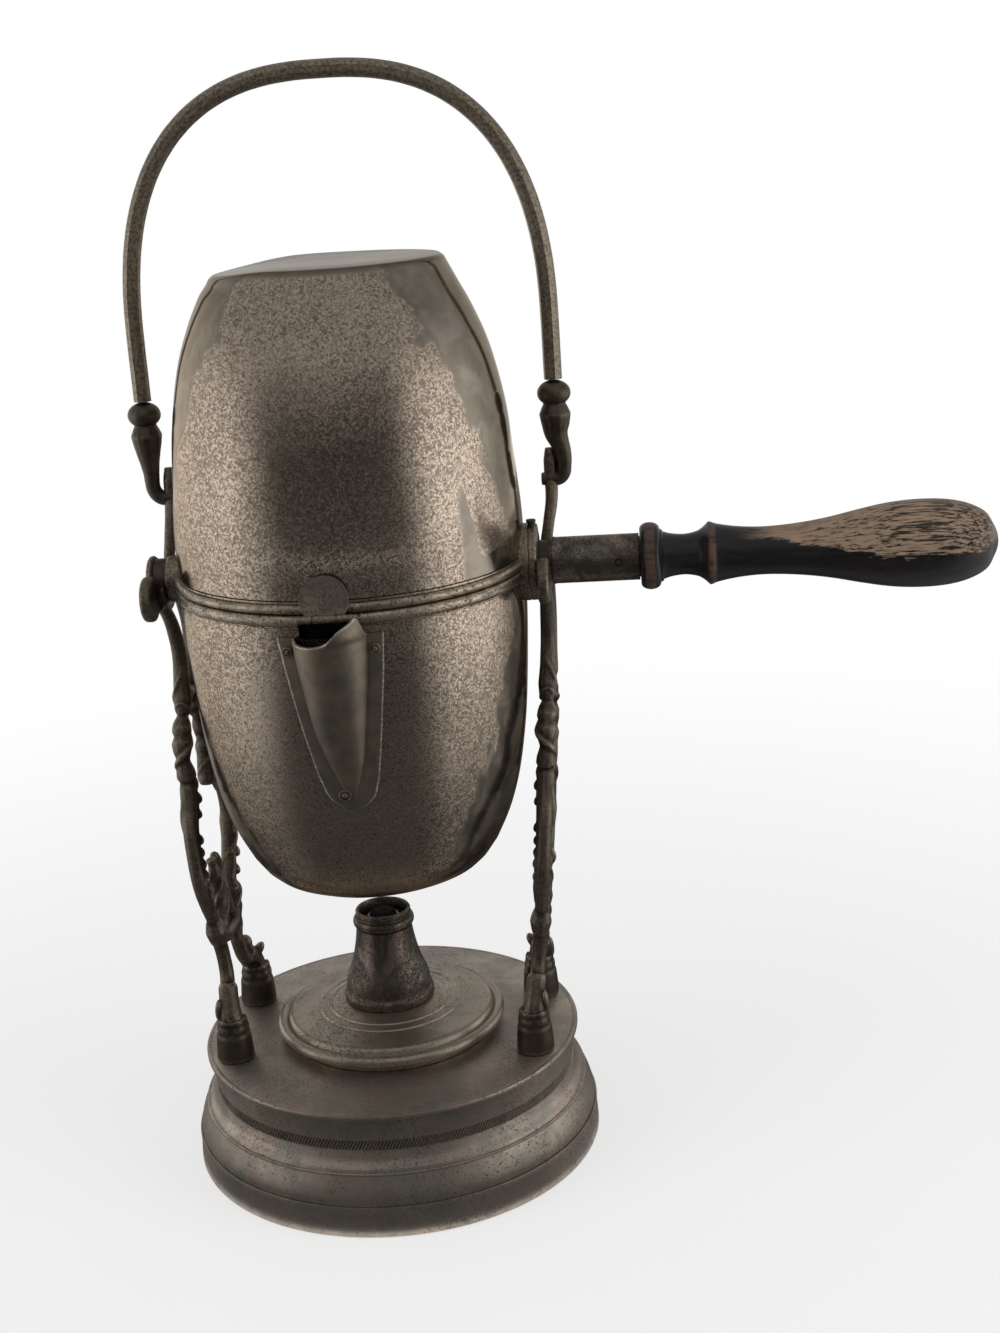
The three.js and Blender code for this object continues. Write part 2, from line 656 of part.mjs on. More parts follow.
// What the trunnions' inner ends must stay clear of: both beads and both halves.
function potEnvelope() {
  const beads = discProfile(beadRadius + twistPlay, -serverBeadHeight - gap, boilerBeadHeight + gap);
  const halves = [fullHalf(boilerOutline, gap, 1), fullHalf(serverOutline, twistPlay, -1)];
  return [toSolid(turned(beads, fine)), ...halves];
}

function makeTrunnions() {
  const neckEnd = forkX + seatHalfWidth + gap;
  const left = toSolid(turnedAlongX([
    [0, beadRadius - 6], [lugRadius, beadRadius - 6], [lugRadius, collarEnd - 0.6],
    [lugRadius - 0.6, collarEnd], [journalRadius, collarEnd], [journalRadius, neckEnd],
    [headRadius - 0.9, neckEnd], [headRadius, neckEnd + 0.9], [headRadius - 1.2, neckEnd + headThickness],
    [0, neckEnd + headThickness + 0.4],
  ], medium).scale(-1, 1, 1));
  addPiece(boiler, 'trunnion_left', cut(left, potEnvelope()), castMetal);
  const plugRadius = ferruleRadius - ferruleWall - gap;
  const screwPlace = [collarEnd - 1.8, -3, collarRadius - 5.5];
  const screwHole = turned(discProfile(collarScrewRadius + gap, 0, 12), 8).translate(...screwPlace);
  const right = toSolid(turnedAlongX([
    [0, beadRadius - 8], [collarRadius, beadRadius - 8], [collarRadius, collarEnd - 0.8],
    [collarRadius - 0.8, collarEnd], [journalRadius, collarEnd], [journalRadius, neckEnd],
    [plugRadius, neckEnd], [plugRadius, neckEnd + socketPlugLength], [0, neckEnd + socketPlugLength],
  ], medium));
  addPiece(boiler, 'trunnion_right', cut(right, [...potEnvelope(), toSolid(screwHole)]), castMetal);
  addPiece(boiler, 'collar_screw', turned([
    [0, gap], [collarScrewRadius, gap], [collarScrewRadius, 6.2], [collarScrewRadius + 0.5, 6.6],
    [collarScrewRadius + 0.5, 7.6], [0, 7.8],
  ], 8).translate(...screwPlace), castMetal);
}

function makeHandle() {
  const ferruleStart = forkX + seatHalfWidth + 2 * gap;
  const ferruleEnd = ferruleStart + ferruleLength;
  const pinX = ferruleEnd - ferrulePinInset;
  const bore = ferruleRadius - ferruleWall;
  const pinHole = turned(discProfile(ferrulePinRadius + gap, -12, 12), 8).rotateX(Math.PI / 2)
    .translate(pinX, 0, 0);
  const tube = toSolid(turnedAlongX(ringProfile(bore, ferruleRadius, ferruleStart, ferruleEnd), medium));
  addPiece(boiler, 'handle_ferrule', cut(tube, [toSolid(pinHole)]), agedPlate);
  addPiece(boiler, 'ferrule_pin', turned(discProfile(ferrulePinRadius, -bore - 0.4, bore + 0.4), 8)
    .rotateX(Math.PI / 2).translate(pinX, 0, 0), castMetal);
  const start = ferruleEnd + gap;
  const spigot = bore - gap;
  const spigotStart = ferruleStart + socketPlugLength + 2 * gap;
  const tip = start + gripLength;
  const cove = [[1, 0.17], [0.1, 0.35], [0, 0.56], [0.6, 0.74], [2.2, 0.88], [3.6, 0.95]];
  const swell = [
    [0.69, 0], [0.65, 0.028], [0.56, 0.09], [0.54, 0.176], [0.6, 0.31], [0.77, 0.473], [0.94, 0.626],
    [1, 0.741], [0.94, 0.856], [0.72, 0.947], [0.41, 0.985],
  ];
  const coveRun = cove.map(([outset, share]) => [
    gripWaistRadius + outset, start + lerp(gripBeadLength, gripFlare, share)]);
  const neckRun = smoothRun(swell.map(([size, share]) => [
    gripRadius * size, start + lerp(gripFlare, gripLength, share)]), 13);
  const bead = beadRun(gripBeadRadius - 2.3, gripBeadRadius, start, start + gripBeadLength, 4);
  const grip = toSolid(turnedAlongX([
    [0, spigotStart], [spigot, spigotStart], [spigot, start], ...bead, ...coveRun, ...neckRun, [0, tip],
  ], 20));
  addPiece(boiler, 'handle_grip', cut(grip, [toSolid(pinHole)]), blackWood);
}

makeBoiler();
makeTrunnions();
makeHandle();

// Server half with its spout: it twists off the boiler half about Z

const server = new THREE.Group();
server.position.z = pivotHeight;
const hingeHeight = 0;

function makeServer() {
  const slotLow = -serverBeadHeight - pourSlotHeight;
  const slot = new THREE.CylinderGeometry(pourSlotHalfWidth, pourSlotHalfWidth, eggRadius / 2, 12)
    .translate(0, -eggRadius, slotLow);
  const slotTop = block([-pourSlotHalfWidth, -eggRadius * 1.25, slotLow],
    [pourSlotHalfWidth, -eggRadius * 0.75, -serverBeadHeight - 3]);
  const shell = cut(halfShell(serverOutline, -1), [toSolid(slot), toSolid(slotTop)]);
  addPiece(server, 'server_shell', shell, agedPlate);
  const inner = neckRadius + twistPlay;
  addPiece(server, 'server_rim', turned([
    [inner, -serverBeadHeight], [beadRadius - 1.4, -serverBeadHeight],
    ...beadRun(beadRadius - 1.4, beadRadius, -serverBeadHeight + 0.6, -beadLow, 4),
    [inner, -beadLow], [inner, -serverBeadHeight],
  ], fine), agedPlate);
}

// Half-width and reach of the spout's cone at a height, grown or shrunk by a margin.
function spoutRing(height, margin) {
  const share = THREE.MathUtils.clamp((height - spoutBottom) / (spoutTop - spoutBottom), 0, 1);
  const surface = outlineRadius(serverOutline, -height);
  const halfWidth = lerp(1.6, spoutHalfWidth, share ** 0.8) + margin;
  const reach = lerp(0.8, spoutReach, share ** 0.9) + margin;
  const ring = [];
  for (let s = 0; s < 18; s += 1) {
    const turn = (tau * s) / 18;
    const forward = Math.sin(turn) < 0 ? reach + 3 : 8;
    ring.push(new THREE.Vector3(halfWidth * Math.cos(turn), -surface + 3 + forward * Math.sin(turn), height));
  }
  return ring;
}

function spoutCone(margin, low, high) {
  const rings = [];
  for (let i = 0; i <= 6; i += 1) rings.push(spoutRing(lerp(low, high, i / 6), margin));
  return toSolid(loft(rings));
}

// The flange's outline seen from the front: a tapering tongue with a round end.
function tongueShape() {
  const top = -serverBeadHeight - 2.2;
  const tongue = new THREE.Shape();
  tongue.moveTo(-flangeHalfWidth, top);
  tongue.lineTo(-tongueHalfWidth, spoutBottom + tongueRound);
  tongue.quadraticCurveTo(-tongueHalfWidth + 2, spoutBottom, 0, spoutBottom);
  tongue.quadraticCurveTo(tongueHalfWidth - 2, spoutBottom, tongueHalfWidth, spoutBottom + tongueRound);
  tongue.lineTo(flangeHalfWidth, top);
  tongue.closePath();
  return tongue;
}

// A flat shape in X and Z, as a block reaching forward past the spout.
function forwardBlock(shape) {
  const settings = { depth: eggRadius, bevelEnabled: false, curveSegments: 6 };
  return new THREE.ExtrudeGeometry(shape, settings).rotateX(Math.PI / 2).translate(0, -eggRadius / 2, 0);
}

function mouthShape() {
  const notch = new THREE.Shape();
  notch.moveTo(-mouthHalfWidth - 1, 20);
  notch.lineTo(-mouthHalfWidth, spoutTop);
  notch.quadraticCurveTo(-mouthHalfWidth + 2.4, spoutTop - mouthDepth, 0, spoutTop - mouthDepth);
  notch.quadraticCurveTo(mouthHalfWidth - 2.4, spoutTop - mouthDepth, mouthHalfWidth, spoutTop);
  notch.lineTo(mouthHalfWidth + 1, 20);
  notch.closePath();
  return notch;
}

const rivetX = flangeHalfWidth - rivetInset;
const rivetPlaces = { left: [-rivetX, -13], right: [rivetX, -13], low: [0, spoutBottom + 4.6] };

function makeSpout() {
  const bareHalf = fullHalf(serverOutline, gap, -1);
  const plate = fullHalf(serverOutline, gap + flangeThickness, -1).subtract(bareHalf)
    .intersect(toSolid(forwardBlock(tongueShape())));
  const outer = spoutCone(0, spoutBottom + 7, spoutTop);
  const inner = spoutCone(-spoutWall, spoutBottom + 12, spoutTop + 4);
  const beadClear = turned(discProfile(beadRadius + gap, -serverBeadHeight - gap, 8), fine);
  const rivetHoles = Object.values(rivetPlaces).map(([x, z]) => {
    const surface = outlineRadius(serverOutline, -z);
    return toSolid(new THREE.CylinderGeometry(rivetRadius * 0.5 + gap, rivetRadius * 0.5 + gap, 6, 8)
      .translate(x, -Math.sqrt(surface ** 2 - x ** 2) - 1, z));
  });
  const body = cut(join([plate, outer]), [inner, bareHalf, toSolid(beadClear), ...rivetHoles]);
  addPiece(server, 'spout', body.subtract(toSolid(forwardBlock(mouthShape()))), agedPlate);
  for (const [name, [x, z]] of Object.entries(rivetPlaces)) {
    const skin = Math.sqrt((outlineRadius(serverOutline, -z) + gap + flangeThickness) ** 2 - x ** 2) + gap;
    const head = turned([[0, 0], [rivetRadius, 0], [rivetRadius * 0.8, 0.7], [0, 1.1]], 8);
    const rivet = addPiece(server, `spout_rivet_${name}`, head.rotateX(Math.PI / 2), castMetal);
    rivet.position.set(x, -skin, z);
    rivet.rotation.z = Math.atan2(x, skin);
  }
}

function knuckle(from, to) {
  return toSolid(turnedAlongX(ringProfile(hingePinRadius + gap / 2, hingeRadius, from, to), 12)
    .translate(0, -hingeForward, hingeHeight));
}

const knuckleSplit = hingeHalfLength * 0.42;

function makeHinge() {
  const leafFront = -hingeForward + hingeRadius + 0.4;
  const leafBack = -beadRadius - gap;
  const leaf = toSolid(block([-hingeHalfLength, leafFront, -1.4], [hingeHalfLength, leafBack, -0.5]));
  const arms = [-1, 1].map((hand) => {
    const ends = [hand * (knuckleSplit + gap), hand * hingeHalfLength].sort((a, b) => a - b);
    const arm = toSolid(block([ends[0], -hingeForward, -1.4], [ends[1], leafFront + 0.2, -0.5]));
    const bore = toSolid(turnedAlongX(discProfile(hingePinRadius + gap / 2, ends[0] - 1, ends[1] + 1), 12)
      .translate(0, -hingeForward, hingeHeight));
    return cut(join([arm, knuckle(...ends)]), [bore]);
  });
  const beadClear = turned(discProfile(beadRadius + gap, -3, 3), fine);
  addPiece(server, 'hinge_leaf', join([leaf, ...arms]).subtract(toSolid(beadClear)), agedPlate);
  const pin = turnedAlongX(discProfile(hingePinRadius, -hingeHalfLength, hingeHalfLength), 8);
  addPiece(server, 'hinge_pin', pin.translate(0, -hingeForward, hingeHeight), castMetal);
}

const flap = new THREE.Group();
flap.position.set(0, -hingeForward, pivotHeight + hingeHeight);
flap.rotation.x = radians(flapLean) * -1;

// The flap stands open, leaning back on the boiler; its group is placed and turned at the hinge.
function makeFlap() {
  const disc = new THREE.CylinderGeometry(flapRadius, flapRadius - 0.3, flapThickness, medium)
    .translate(0, 0, flapRise);
  const face = toSolid(disc).subtract(toSolid(block([-20, -5, -20], [20, 5, hingeRadius + 0.4])));
  const neck = toSolid(block([-knuckleSplit + gap, -flapThickness / 2, 0.4],
    [knuckleSplit - gap, flapThickness / 2, hingeRadius + 1.5]));
  const barrel = turnedAlongX(discProfile(hingeRadius, -knuckleSplit, knuckleSplit), 12);
  const bore = turnedAlongX(discProfile(hingePinRadius + gap / 2, -knuckleSplit - 1, knuckleSplit + 1), 12);
  addPiece(flap, 'spout_flap', cut(join([face, neck, toSolid(barrel)]), [toSolid(bore)]), agedPlate);
}

makeServer();
makeSpout();
makeHinge();
makeFlap();

// Bail: everything here is measured from the line through the two eyes

const bail = new THREE.Group();
bail.position.set(0, eyeBack, pivotHeight + eyeRise);

function makeBail() {
  const legLow = ballRise + ballHalfHeight + gap;
  const legHigh = bailShoulder - 9.9;
  const leg = (x, z) => new THREE.Vector3(x, 0, z);
  const points = [leg(-bailHalfWidth, legLow), leg(-bailHalfWidth, legHigh)];
  const height = bailRise - bailShoulder;
  for (let i = 0; i <= 22; i += 1) {
    const turn = (Math.PI * i) / 22;
    const across = Math.sign(Math.cos(turn)) * Math.abs(Math.cos(turn)) ** (2 / bailSquareness);
    const up = Math.sin(turn) ** (2 / bailSquareness);
    points.push(new THREE.Vector3(-bailHalfWidth * across, 0, bailShoulder + height * up));
  }
  points.push(leg(bailHalfWidth, legHigh), leg(bailHalfWidth, legLow));
  const section = new THREE.Shape();
  for (let s = 0; s < 8; s += 1) {
    const turn = (tau * s) / 8;
    const corner = [bailRodRadius * Math.cos(turn), bailRodRadius * Math.sin(turn)];
    if (s === 0) section.moveTo(...corner);
    else section.lineTo(...corner);
  }
  const path = new THREE.CatmullRomCurve3(points, false, 'centripetal');
  const rod = new THREE.ExtrudeGeometry(section, { steps: 38, bevelEnabled: false, extrudePath: path });
  addPiece(bail, 'bail_rod', rod, castMetal);
}

function makeHook(side, across) {
  const axis = bailHalfWidth;
  const stem = bailHalfWidth + hookStemOut[side];
  const post = eyeX[side];
  const ballLow = ballRise - ballHalfHeight;
  const coneNeck = hookConeRadius - 2;
  const coneLow = ballLow - hookConeHeight;
  const turnedPart = toSolid(turned([
    [0, coneLow], [3.5, coneLow], [5.1, coneLow + 3.8], [hookConeRadius - 0.3, coneLow + 7.4],
    [hookConeRadius, coneLow + 9], [coneNeck, ballLow - 0.2], [coneNeck, ballLow + 0.4],
    ...[0.4, 0.7, 1, 1.3, 1.6].map((share) => [
      ballRadius * Math.sqrt(1 - (share - 1) ** 2), ballRise + ballHalfHeight * (share - 1)]),
    [bailRodRadius, ballRise + ballHalfHeight], [0, ballRise + ballHalfHeight],
  ], coarse).translate(axis, 0, 0));
  const cheek = eyeThickness / 2 + gap;
  const curl = stem - (post + cheek);
  const stations = [
    { at: new THREE.Vector3(axis, 0, coneLow + 3.8), radius: 3.8 },
    { at: new THREE.Vector3(lerp(axis, stem, 0.6), 0, coneLow - 0.2), radius: 3.5 },
    { at: new THREE.Vector3(stem, 0, coneLow - 5.2), radius: 3.1 },
  ];
  for (let i = 0; i <= 4; i += 1) {
    const turn = (Math.PI / 2) * (i / 4);
    const at = new THREE.Vector3(post + cheek + curl * Math.cos(turn), 0, curl * 1.25 * (1 - Math.sin(turn)));
    stations.push({ at, radius: lerp(3, hookRodRadius, i / 4) });
  }
  stations.push({ at: new THREE.Vector3(post, 0, 0), radius: hookRodRadius });
  stations.push({ at: new THREE.Vector3(post - cheek - hookOverhang, 0, 0), radius: hookRodRadius - 0.1 });
  const hook = join([turnedPart, toSolid(taperedHook(stations))]);
  const placed = across > 0 ? hook : toSolid(toGeometry(hook).scale(-1, 1, 1));
  addPiece(bail, `bail_hook_${side}`, placed, castMetal);
}

// A rod in the XZ plane, so its rings stay square to Y.
function taperedHook(stations) {
  const line = new THREE.CatmullRomCurve3(stations.map((station) => station.at), false, 'centripetal');
  const rings = [];
  const steps = 15;
  for (let i = 0; i <= steps; i += 1) {
    const centre = line.getPoint(i / steps);
    const side = line.getTangent(i / steps).cross(new THREE.Vector3(0, 1, 0)).normalize();
    const place = (i / steps) * (stations.length - 1);
    const from = Math.min(Math.floor(place), stations.length - 2);
    const radius = lerp(stations[from].radius, stations[from + 1].radius, place - from);
    const ring = [];
    for (let s = 0; s < 8; s += 1) {
      const turn = (tau * s) / 8;
      const point = centre.clone().addScaledVector(side, radius * Math.cos(turn));
      ring.push(point.add(new THREE.Vector3(0, radius * Math.sin(turn), 0)));
    }
    rings.push(ring);
  }
  return loft(rings);
}

makeBail();
makeHook('left', -1);
makeHook('right', 1);

const pot = new THREE.Group();
pot.add(stand, boiler, server, flap, bail);

export default pot;
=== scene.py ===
# Tilting coffee pot on its lamp stand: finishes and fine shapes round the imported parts.
# Sizes are in millimetres and become metres where a mesh is made.
import json
import math

import bpy
import numpy as np
from mathutils import Matrix, Vector


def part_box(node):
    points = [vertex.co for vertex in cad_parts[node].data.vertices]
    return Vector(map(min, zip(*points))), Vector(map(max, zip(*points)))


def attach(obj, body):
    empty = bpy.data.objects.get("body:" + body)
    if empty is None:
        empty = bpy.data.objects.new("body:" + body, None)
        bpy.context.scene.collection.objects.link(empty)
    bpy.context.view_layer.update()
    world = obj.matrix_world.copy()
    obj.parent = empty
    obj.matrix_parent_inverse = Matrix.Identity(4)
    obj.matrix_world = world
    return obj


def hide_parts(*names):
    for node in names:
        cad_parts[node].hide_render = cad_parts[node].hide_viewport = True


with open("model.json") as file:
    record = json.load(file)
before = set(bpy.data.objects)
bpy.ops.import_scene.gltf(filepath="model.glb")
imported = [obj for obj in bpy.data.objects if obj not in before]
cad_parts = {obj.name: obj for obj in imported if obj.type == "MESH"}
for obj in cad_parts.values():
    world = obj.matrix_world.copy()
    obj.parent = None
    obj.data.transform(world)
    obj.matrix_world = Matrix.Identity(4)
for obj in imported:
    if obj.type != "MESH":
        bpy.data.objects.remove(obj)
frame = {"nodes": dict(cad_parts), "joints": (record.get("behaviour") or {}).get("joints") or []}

mm = 0.001
tau = math.tau
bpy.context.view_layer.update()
jointPlace = {joint["name"]: Vector(joint["pos_m"]) / mm for joint in frame["joints"]}
seam = jointPlace["pot_tilt"].z
hinge = jointPlace["flap_hinge"]
eyeLine = jointPlace["bail_swing"]


def boxOf(node):
    low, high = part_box(node)
    return low / mm, high / mm


# Camera

camera = {
    "azimuth": 4.72,        # round the pot from straight in front
    "elevation": 16.3,
    "roll": -3.81,
    "distance": 739.2,
    "right": 52.8,          # what it looks at, from the stand's axis
    "height": 193.8,
    "lens": 52.16,
}


def placeCamera():
    azimuth = math.radians(camera["azimuth"])
    elevation = math.radians(camera["elevation"])
    back = Vector((math.sin(azimuth) * math.cos(elevation),
                   -math.cos(azimuth) * math.cos(elevation), math.sin(elevation)))
    right = (-back).cross(Vector((0, 0, 1))).normalized()
    target = right * camera["right"] + Vector((0, 0, camera["height"]))
    right = Matrix.Rotation(math.radians(camera["roll"]), 3, back) @ right
    up = back.cross(right)
    bpy.ops.object.camera_add()
    view = bpy.context.object
    view.name = "photoCamera"
    view.data.lens = camera["lens"]
    view.data.clip_start = 0.01
    turned = Matrix((right, up, back)).transposed().to_4x4()
    view.matrix_world = Matrix.Translation((target + back * camera["distance"]) * mm) @ turned
    bpy.context.scene.camera = view


placeCamera()
print("camera placed")


# Ways of working

def nothingSelected():
    if bpy.context.mode != "OBJECT":
        bpy.ops.object.mode_set(mode="OBJECT")
    bpy.ops.object.select_all(action="DESELECT")


def pick(*pieces):
    nothingSelected()
    for piece in pieces:
        piece.select_set(True)
    bpy.context.view_layer.objects.active = pieces[0]


def editAll():
    bpy.ops.object.mode_set(mode="EDIT")
    bpy.ops.mesh.select_all(action="SELECT")


def applyPlace(piece):
    pick(piece)
    bpy.ops.object.transform_apply(location=True, rotation=True, scale=True)


def modify(piece, kind, **settings):
    pick(piece)
    modifier = piece.modifiers.new(kind.title(), kind)
    for name, value in settings.items():
        setattr(modifier, name, value)
    bpy.ops.object.modifier_apply(modifier=modifier.name)


def mergeAndFaceOut(piece, distance=0.004):
    pick(piece)
    editAll()
    bpy.ops.mesh.remove_doubles(threshold=distance * mm)
    bpy.ops.mesh.normals_make_consistent(inside=False)
    bpy.ops.object.mode_set(mode="OBJECT")


def smooth(piece, angle=35):
    pick(piece)
    bpy.ops.object.shade_smooth_by_angle(angle=math.radians(angle))


def joinAll(name, pieces):
    pick(*pieces)
    bpy.ops.object.join()
    whole = bpy.context.object
    whole.name = name
    return whole


def curveThrough(points, spans=6):
    run = []
    for i in range(len(points) - 1):
        before, here = points[max(i - 1, 0)], points[i]
        there, after = points[i + 1], points[min(i + 2, len(points) - 1)]
        for k in range(spans):
            t = k / spans
            run.append(tuple(
                0.5 * (2 * q + (r - p) * t + (2 * p - 5 * q + 4 * r - s) * t * t
                       + (3 * q - p - 3 * r + s) * t ** 3)
                for p, q, r, s in zip(before, here, there, after)))
    run.append(tuple(points[-1]))
    return run


def between(low, high, share):
    return low + (high - low) * share


def eased(low, high, value):
    share = min(max((value - low) / (high - low), 0), 1)
    return share * share * (3 - 2 * share)


# Profile points given from another height, or place along the axis.
def shifted(start, points):
    return [(radius, start + along) for radius, along in points]


# Profile points given outward from a radius.
def outFrom(edge, points):
    return [(edge + out, height) for out, height in points]


# A rounded edge from one profile point to another, bulging outward.
def roundEdge(inner, outer, low, high, steps=10):
    turns = [math.pi * i / steps for i in range(steps + 1)]
    return [(between(inner, outer, math.sin(turn)), between(low, high, (1 - math.cos(turn)) / 2))
            for turn in turns]


# One vertex, extruded from point to point.
def drawLine(name, points):
    nothingSelected()
    bpy.ops.mesh.primitive_plane_add(size=mm)
    line = bpy.context.object
    line.name = name
    editAll()
    bpy.ops.mesh.merge(type="CENTER")
    bpy.ops.transform.translate(value=Vector(points[0]) * mm)
    for here, there in zip(points, points[1:]):
        step = (Vector(there) - Vector(here)) * mm
        bpy.ops.mesh.extrude_vertices_move(TRANSFORM_OT_translate={"value": step})
    return line


# A profile of (radius, place along the axis) spun about Z or X.
def turnOnLathe(name, profile, sides, axis="Z", centre=(0, 0, 0)):
    middle = Vector(centre)
    if axis == "Z":
        points = [middle + Vector((radius, 0, along)) for radius, along in profile]
        pole = (0, 0, 1)
    else:
        points = [middle + Vector((along, 0, radius)) for radius, along in profile]
        pole = (1, 0, 0)
    piece = drawLine(name, points)
    bpy.ops.mesh.select_all(action="SELECT")
    bpy.ops.mesh.spin(steps=sides, angle=tau, center=middle * mm, axis=pole)
    mergeAndFaceOut(piece)
    return piece


# A round rod through ((x, y, z), radius) stations.
def drawRod(name, stations, finish=5, spans=8):
    nothingSelected()
    bpy.ops.curve.primitive_bezier_curve_add()
    line = bpy.context.object
    spline = line.data.splines[0]
    spline.bezier_points.add(len(stations) - 2)
    for point, (place, radius) in zip(spline.bezier_points, stations):
        point.co = Vector(place) * mm
        point.radius = radius
        point.handle_left_type = "AUTO"
        point.handle_right_type = "AUTO"
    line.data.dimensions = "3D"
    line.data.resolution_u = spans
    line.data.bevel_depth = mm
    line.data.bevel_resolution = finish
    line.data.use_fill_caps = True
    pick(line)
    bpy.ops.object.convert(target="MESH")
    rod = bpy.context.object
    rod.name = name
    return rod


def drawLump(place, size, turn=(0, 0, 0)):
    nothingSelected()
    bpy.ops.mesh.primitive_ico_sphere_add(subdivisions=3, radius=mm, location=Vector(place) * mm)
    lump = bpy.context.object
    lump.scale = size
    lump.rotation_euler = [math.radians(angle) for angle in turn]
    applyPlace(lump)
    return lump


# Rods and lumps melted into one casting.
def fuse(name, pieces, grain, softness=3):
    whole = joinAll(name, pieces)
    modify(whole, "REMESH", mode="VOXEL", voxel_size=grain * mm)
    modify(whole, "SMOOTH", factor=0.5, iterations=softness)
    return whole


# How much each vertex stands out of its surroundings, for wear on raised edges.
def markWear(piece, reach=2, low=0.02, high=0.3):
    mesh = piece.data
    count = len(mesh.vertices)
    place = np.zeros(count * 3)
    mesh.vertices.foreach_get("co", place)
    place = place.reshape(-1, 3)
    normal = np.zeros(count * 3)
    mesh.vertices.foreach_get("normal", normal)
    normal = normal.reshape(-1, 3)
    ends = np.zeros(len(mesh.edges) * 2, np.int32)
    mesh.edges.foreach_get("vertices", ends)
    ends = ends.reshape(-1, 2)
    both = np.concatenate([ends, ends[:, ::-1]])
    links = np.maximum(np.bincount(both[:, 0], minlength=count), 1)

    def spread(values):
        return np.bincount(both[:, 0], values[both[:, 1]], count) / links

    softened = place
    for _ in range(reach * 4):
        softened = np.stack([spread(softened[:, k]) for k in range(3)], 1)
    raised = np.einsum("ij,ij->i", place - softened, normal) / mm
    for _ in range(reach):
        raised = (raised + spread(raised)) / 2
    worn = np.clip((raised - low) / (high - low), 0, 1)
    layer = mesh.attributes.new("wear", "FLOAT", "POINT")
    layer.data.foreach_set("value", worn.astype(np.float32))


def fit(piece, body, slotName, finish, *stoodFor):
    piece.data.materials.clear()
    piece.data.materials.append(finish)
    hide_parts(*stoodFor)
    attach(piece, body)


# A piece's last steps: smooth shading, wear where it is rubbed, then its finish and its place in the pot.
def complete(piece, body, slotName, finish, node, angle=35, wear=0):
    smooth(piece, angle)
    if wear:
        markWear(piece, wear)
    fit(piece, body, slotName, finish, node)


# Faces that the test picks get a second finish.
def paintFaces(piece, finish, test):
    piece.data.materials.append(finish)
    for face in piece.data.polygons:
        if test(face.center / mm, face.normal):
            face.material_index = 1


# Finishes

def addNode(tree, kind, inputs=None, **settings):
    made = tree.nodes.new(kind)
    for name, value in settings.items():
        setattr(made, name, value)
    for name, value in (inputs or {}).items():
        if isinstance(value, bpy.types.NodeSocket):
            tree.links.new(value, made.inputs[name])
        else:
            made.inputs[name].default_value = value
    return made


def startFinish(name):
    finish = bpy.data.materials.new(name)
    finish.use_nodes = True
    finish.node_tree.nodes.clear()
    return finish, finish.node_tree


def endWith(tree, shader, kind="ShaderNodeOutputMaterial"):
    tree.links.new(shader, tree.nodes.new(kind).inputs[0])


def endFinish(tree, inputs):
    endWith(tree, addNode(tree, "ShaderNodeBsdfPrincipled", inputs).outputs[0])


def objectPlace(tree, scale=(1, 1, 1)):
    place = addNode(tree, "ShaderNodeTexCoord").outputs["Object"]
    return addNode(tree, "ShaderNodeMapping", {"Vector": place, "Scale": scale}).outputs[0]


def splitUp(tree, place):
    return addNode(tree, "ShaderNodeSeparateXYZ", {"Vector": place}).outputs


def grain(tree, place, size, detail=2, roughness=0.5, twist=0):
    return addNode(tree, "ShaderNodeTexNoise", {
        "Vector": place, "Scale": 1 / (size * mm), "Detail": detail, "Roughness": roughness,
        "Distortion": twist}).outputs["Fac"]


# A value spread from 0 at low to 1 at high, softly.
def spreadOver(tree, value, low, high, start=0, end=1):
    return addNode(tree, "ShaderNodeMapRange", {
        "Value": value, "From Min": low, "From Max": high, "To Min": start, "To Max": end},
        interpolation_type="SMOOTHSTEP").outputs[0]


def calculate(tree, operation, first, second=0.0, third=0.0):
    made = addNode(tree, "ShaderNodeMath", operation=operation)
    for socket, value in zip(made.inputs, (first, second, third)):
        if isinstance(value, bpy.types.NodeSocket):
            tree.links.new(value, socket)
        else:
            socket.default_value = value
    return made.outputs[0]


def times(tree, first, second):
    return calculate(tree, "MULTIPLY", first, second)


def minus(tree, first, second):
    return calculate(tree, "SUBTRACT", first, second)


def larger(tree, first, second):
    return calculate(tree, "MAXIMUM", first, second)


def sizeOf(tree, value):
    return calculate(tree, "ABSOLUTE", value)


def timesPlus(tree, first, second, third):
    return calculate(tree, "MULTIPLY_ADD", first, second, third)


# Degrees round the pot's axis, from straight in front towards the right.
def degreesRound(tree, split, lean=0):
    turn = calculate(tree, "ARCTAN2", split[0], times(tree, split[1], -1))
    return timesPlus(tree, turn, 360 / tau, -lean)


def blend(tree, share, first, second):
    made = addNode(tree, "ShaderNodeMix", data_type="RGBA")
    for socket, value in ((made.inputs[0], share), (made.inputs[6], first), (made.inputs[7], second)):
        if isinstance(value, bpy.types.NodeSocket):
            tree.links.new(value, socket)
        elif isinstance(value, (int, float)):
            socket.default_value = value
        else:
            socket.default_value = (*value, 1)
    return made.outputs[2]


def bumpOf(tree, height, strength, depth):
    return addNode(tree, "ShaderNodeBump", {
        "Height": height, "Strength": strength, "Distance": depth * mm}).outputs[0]


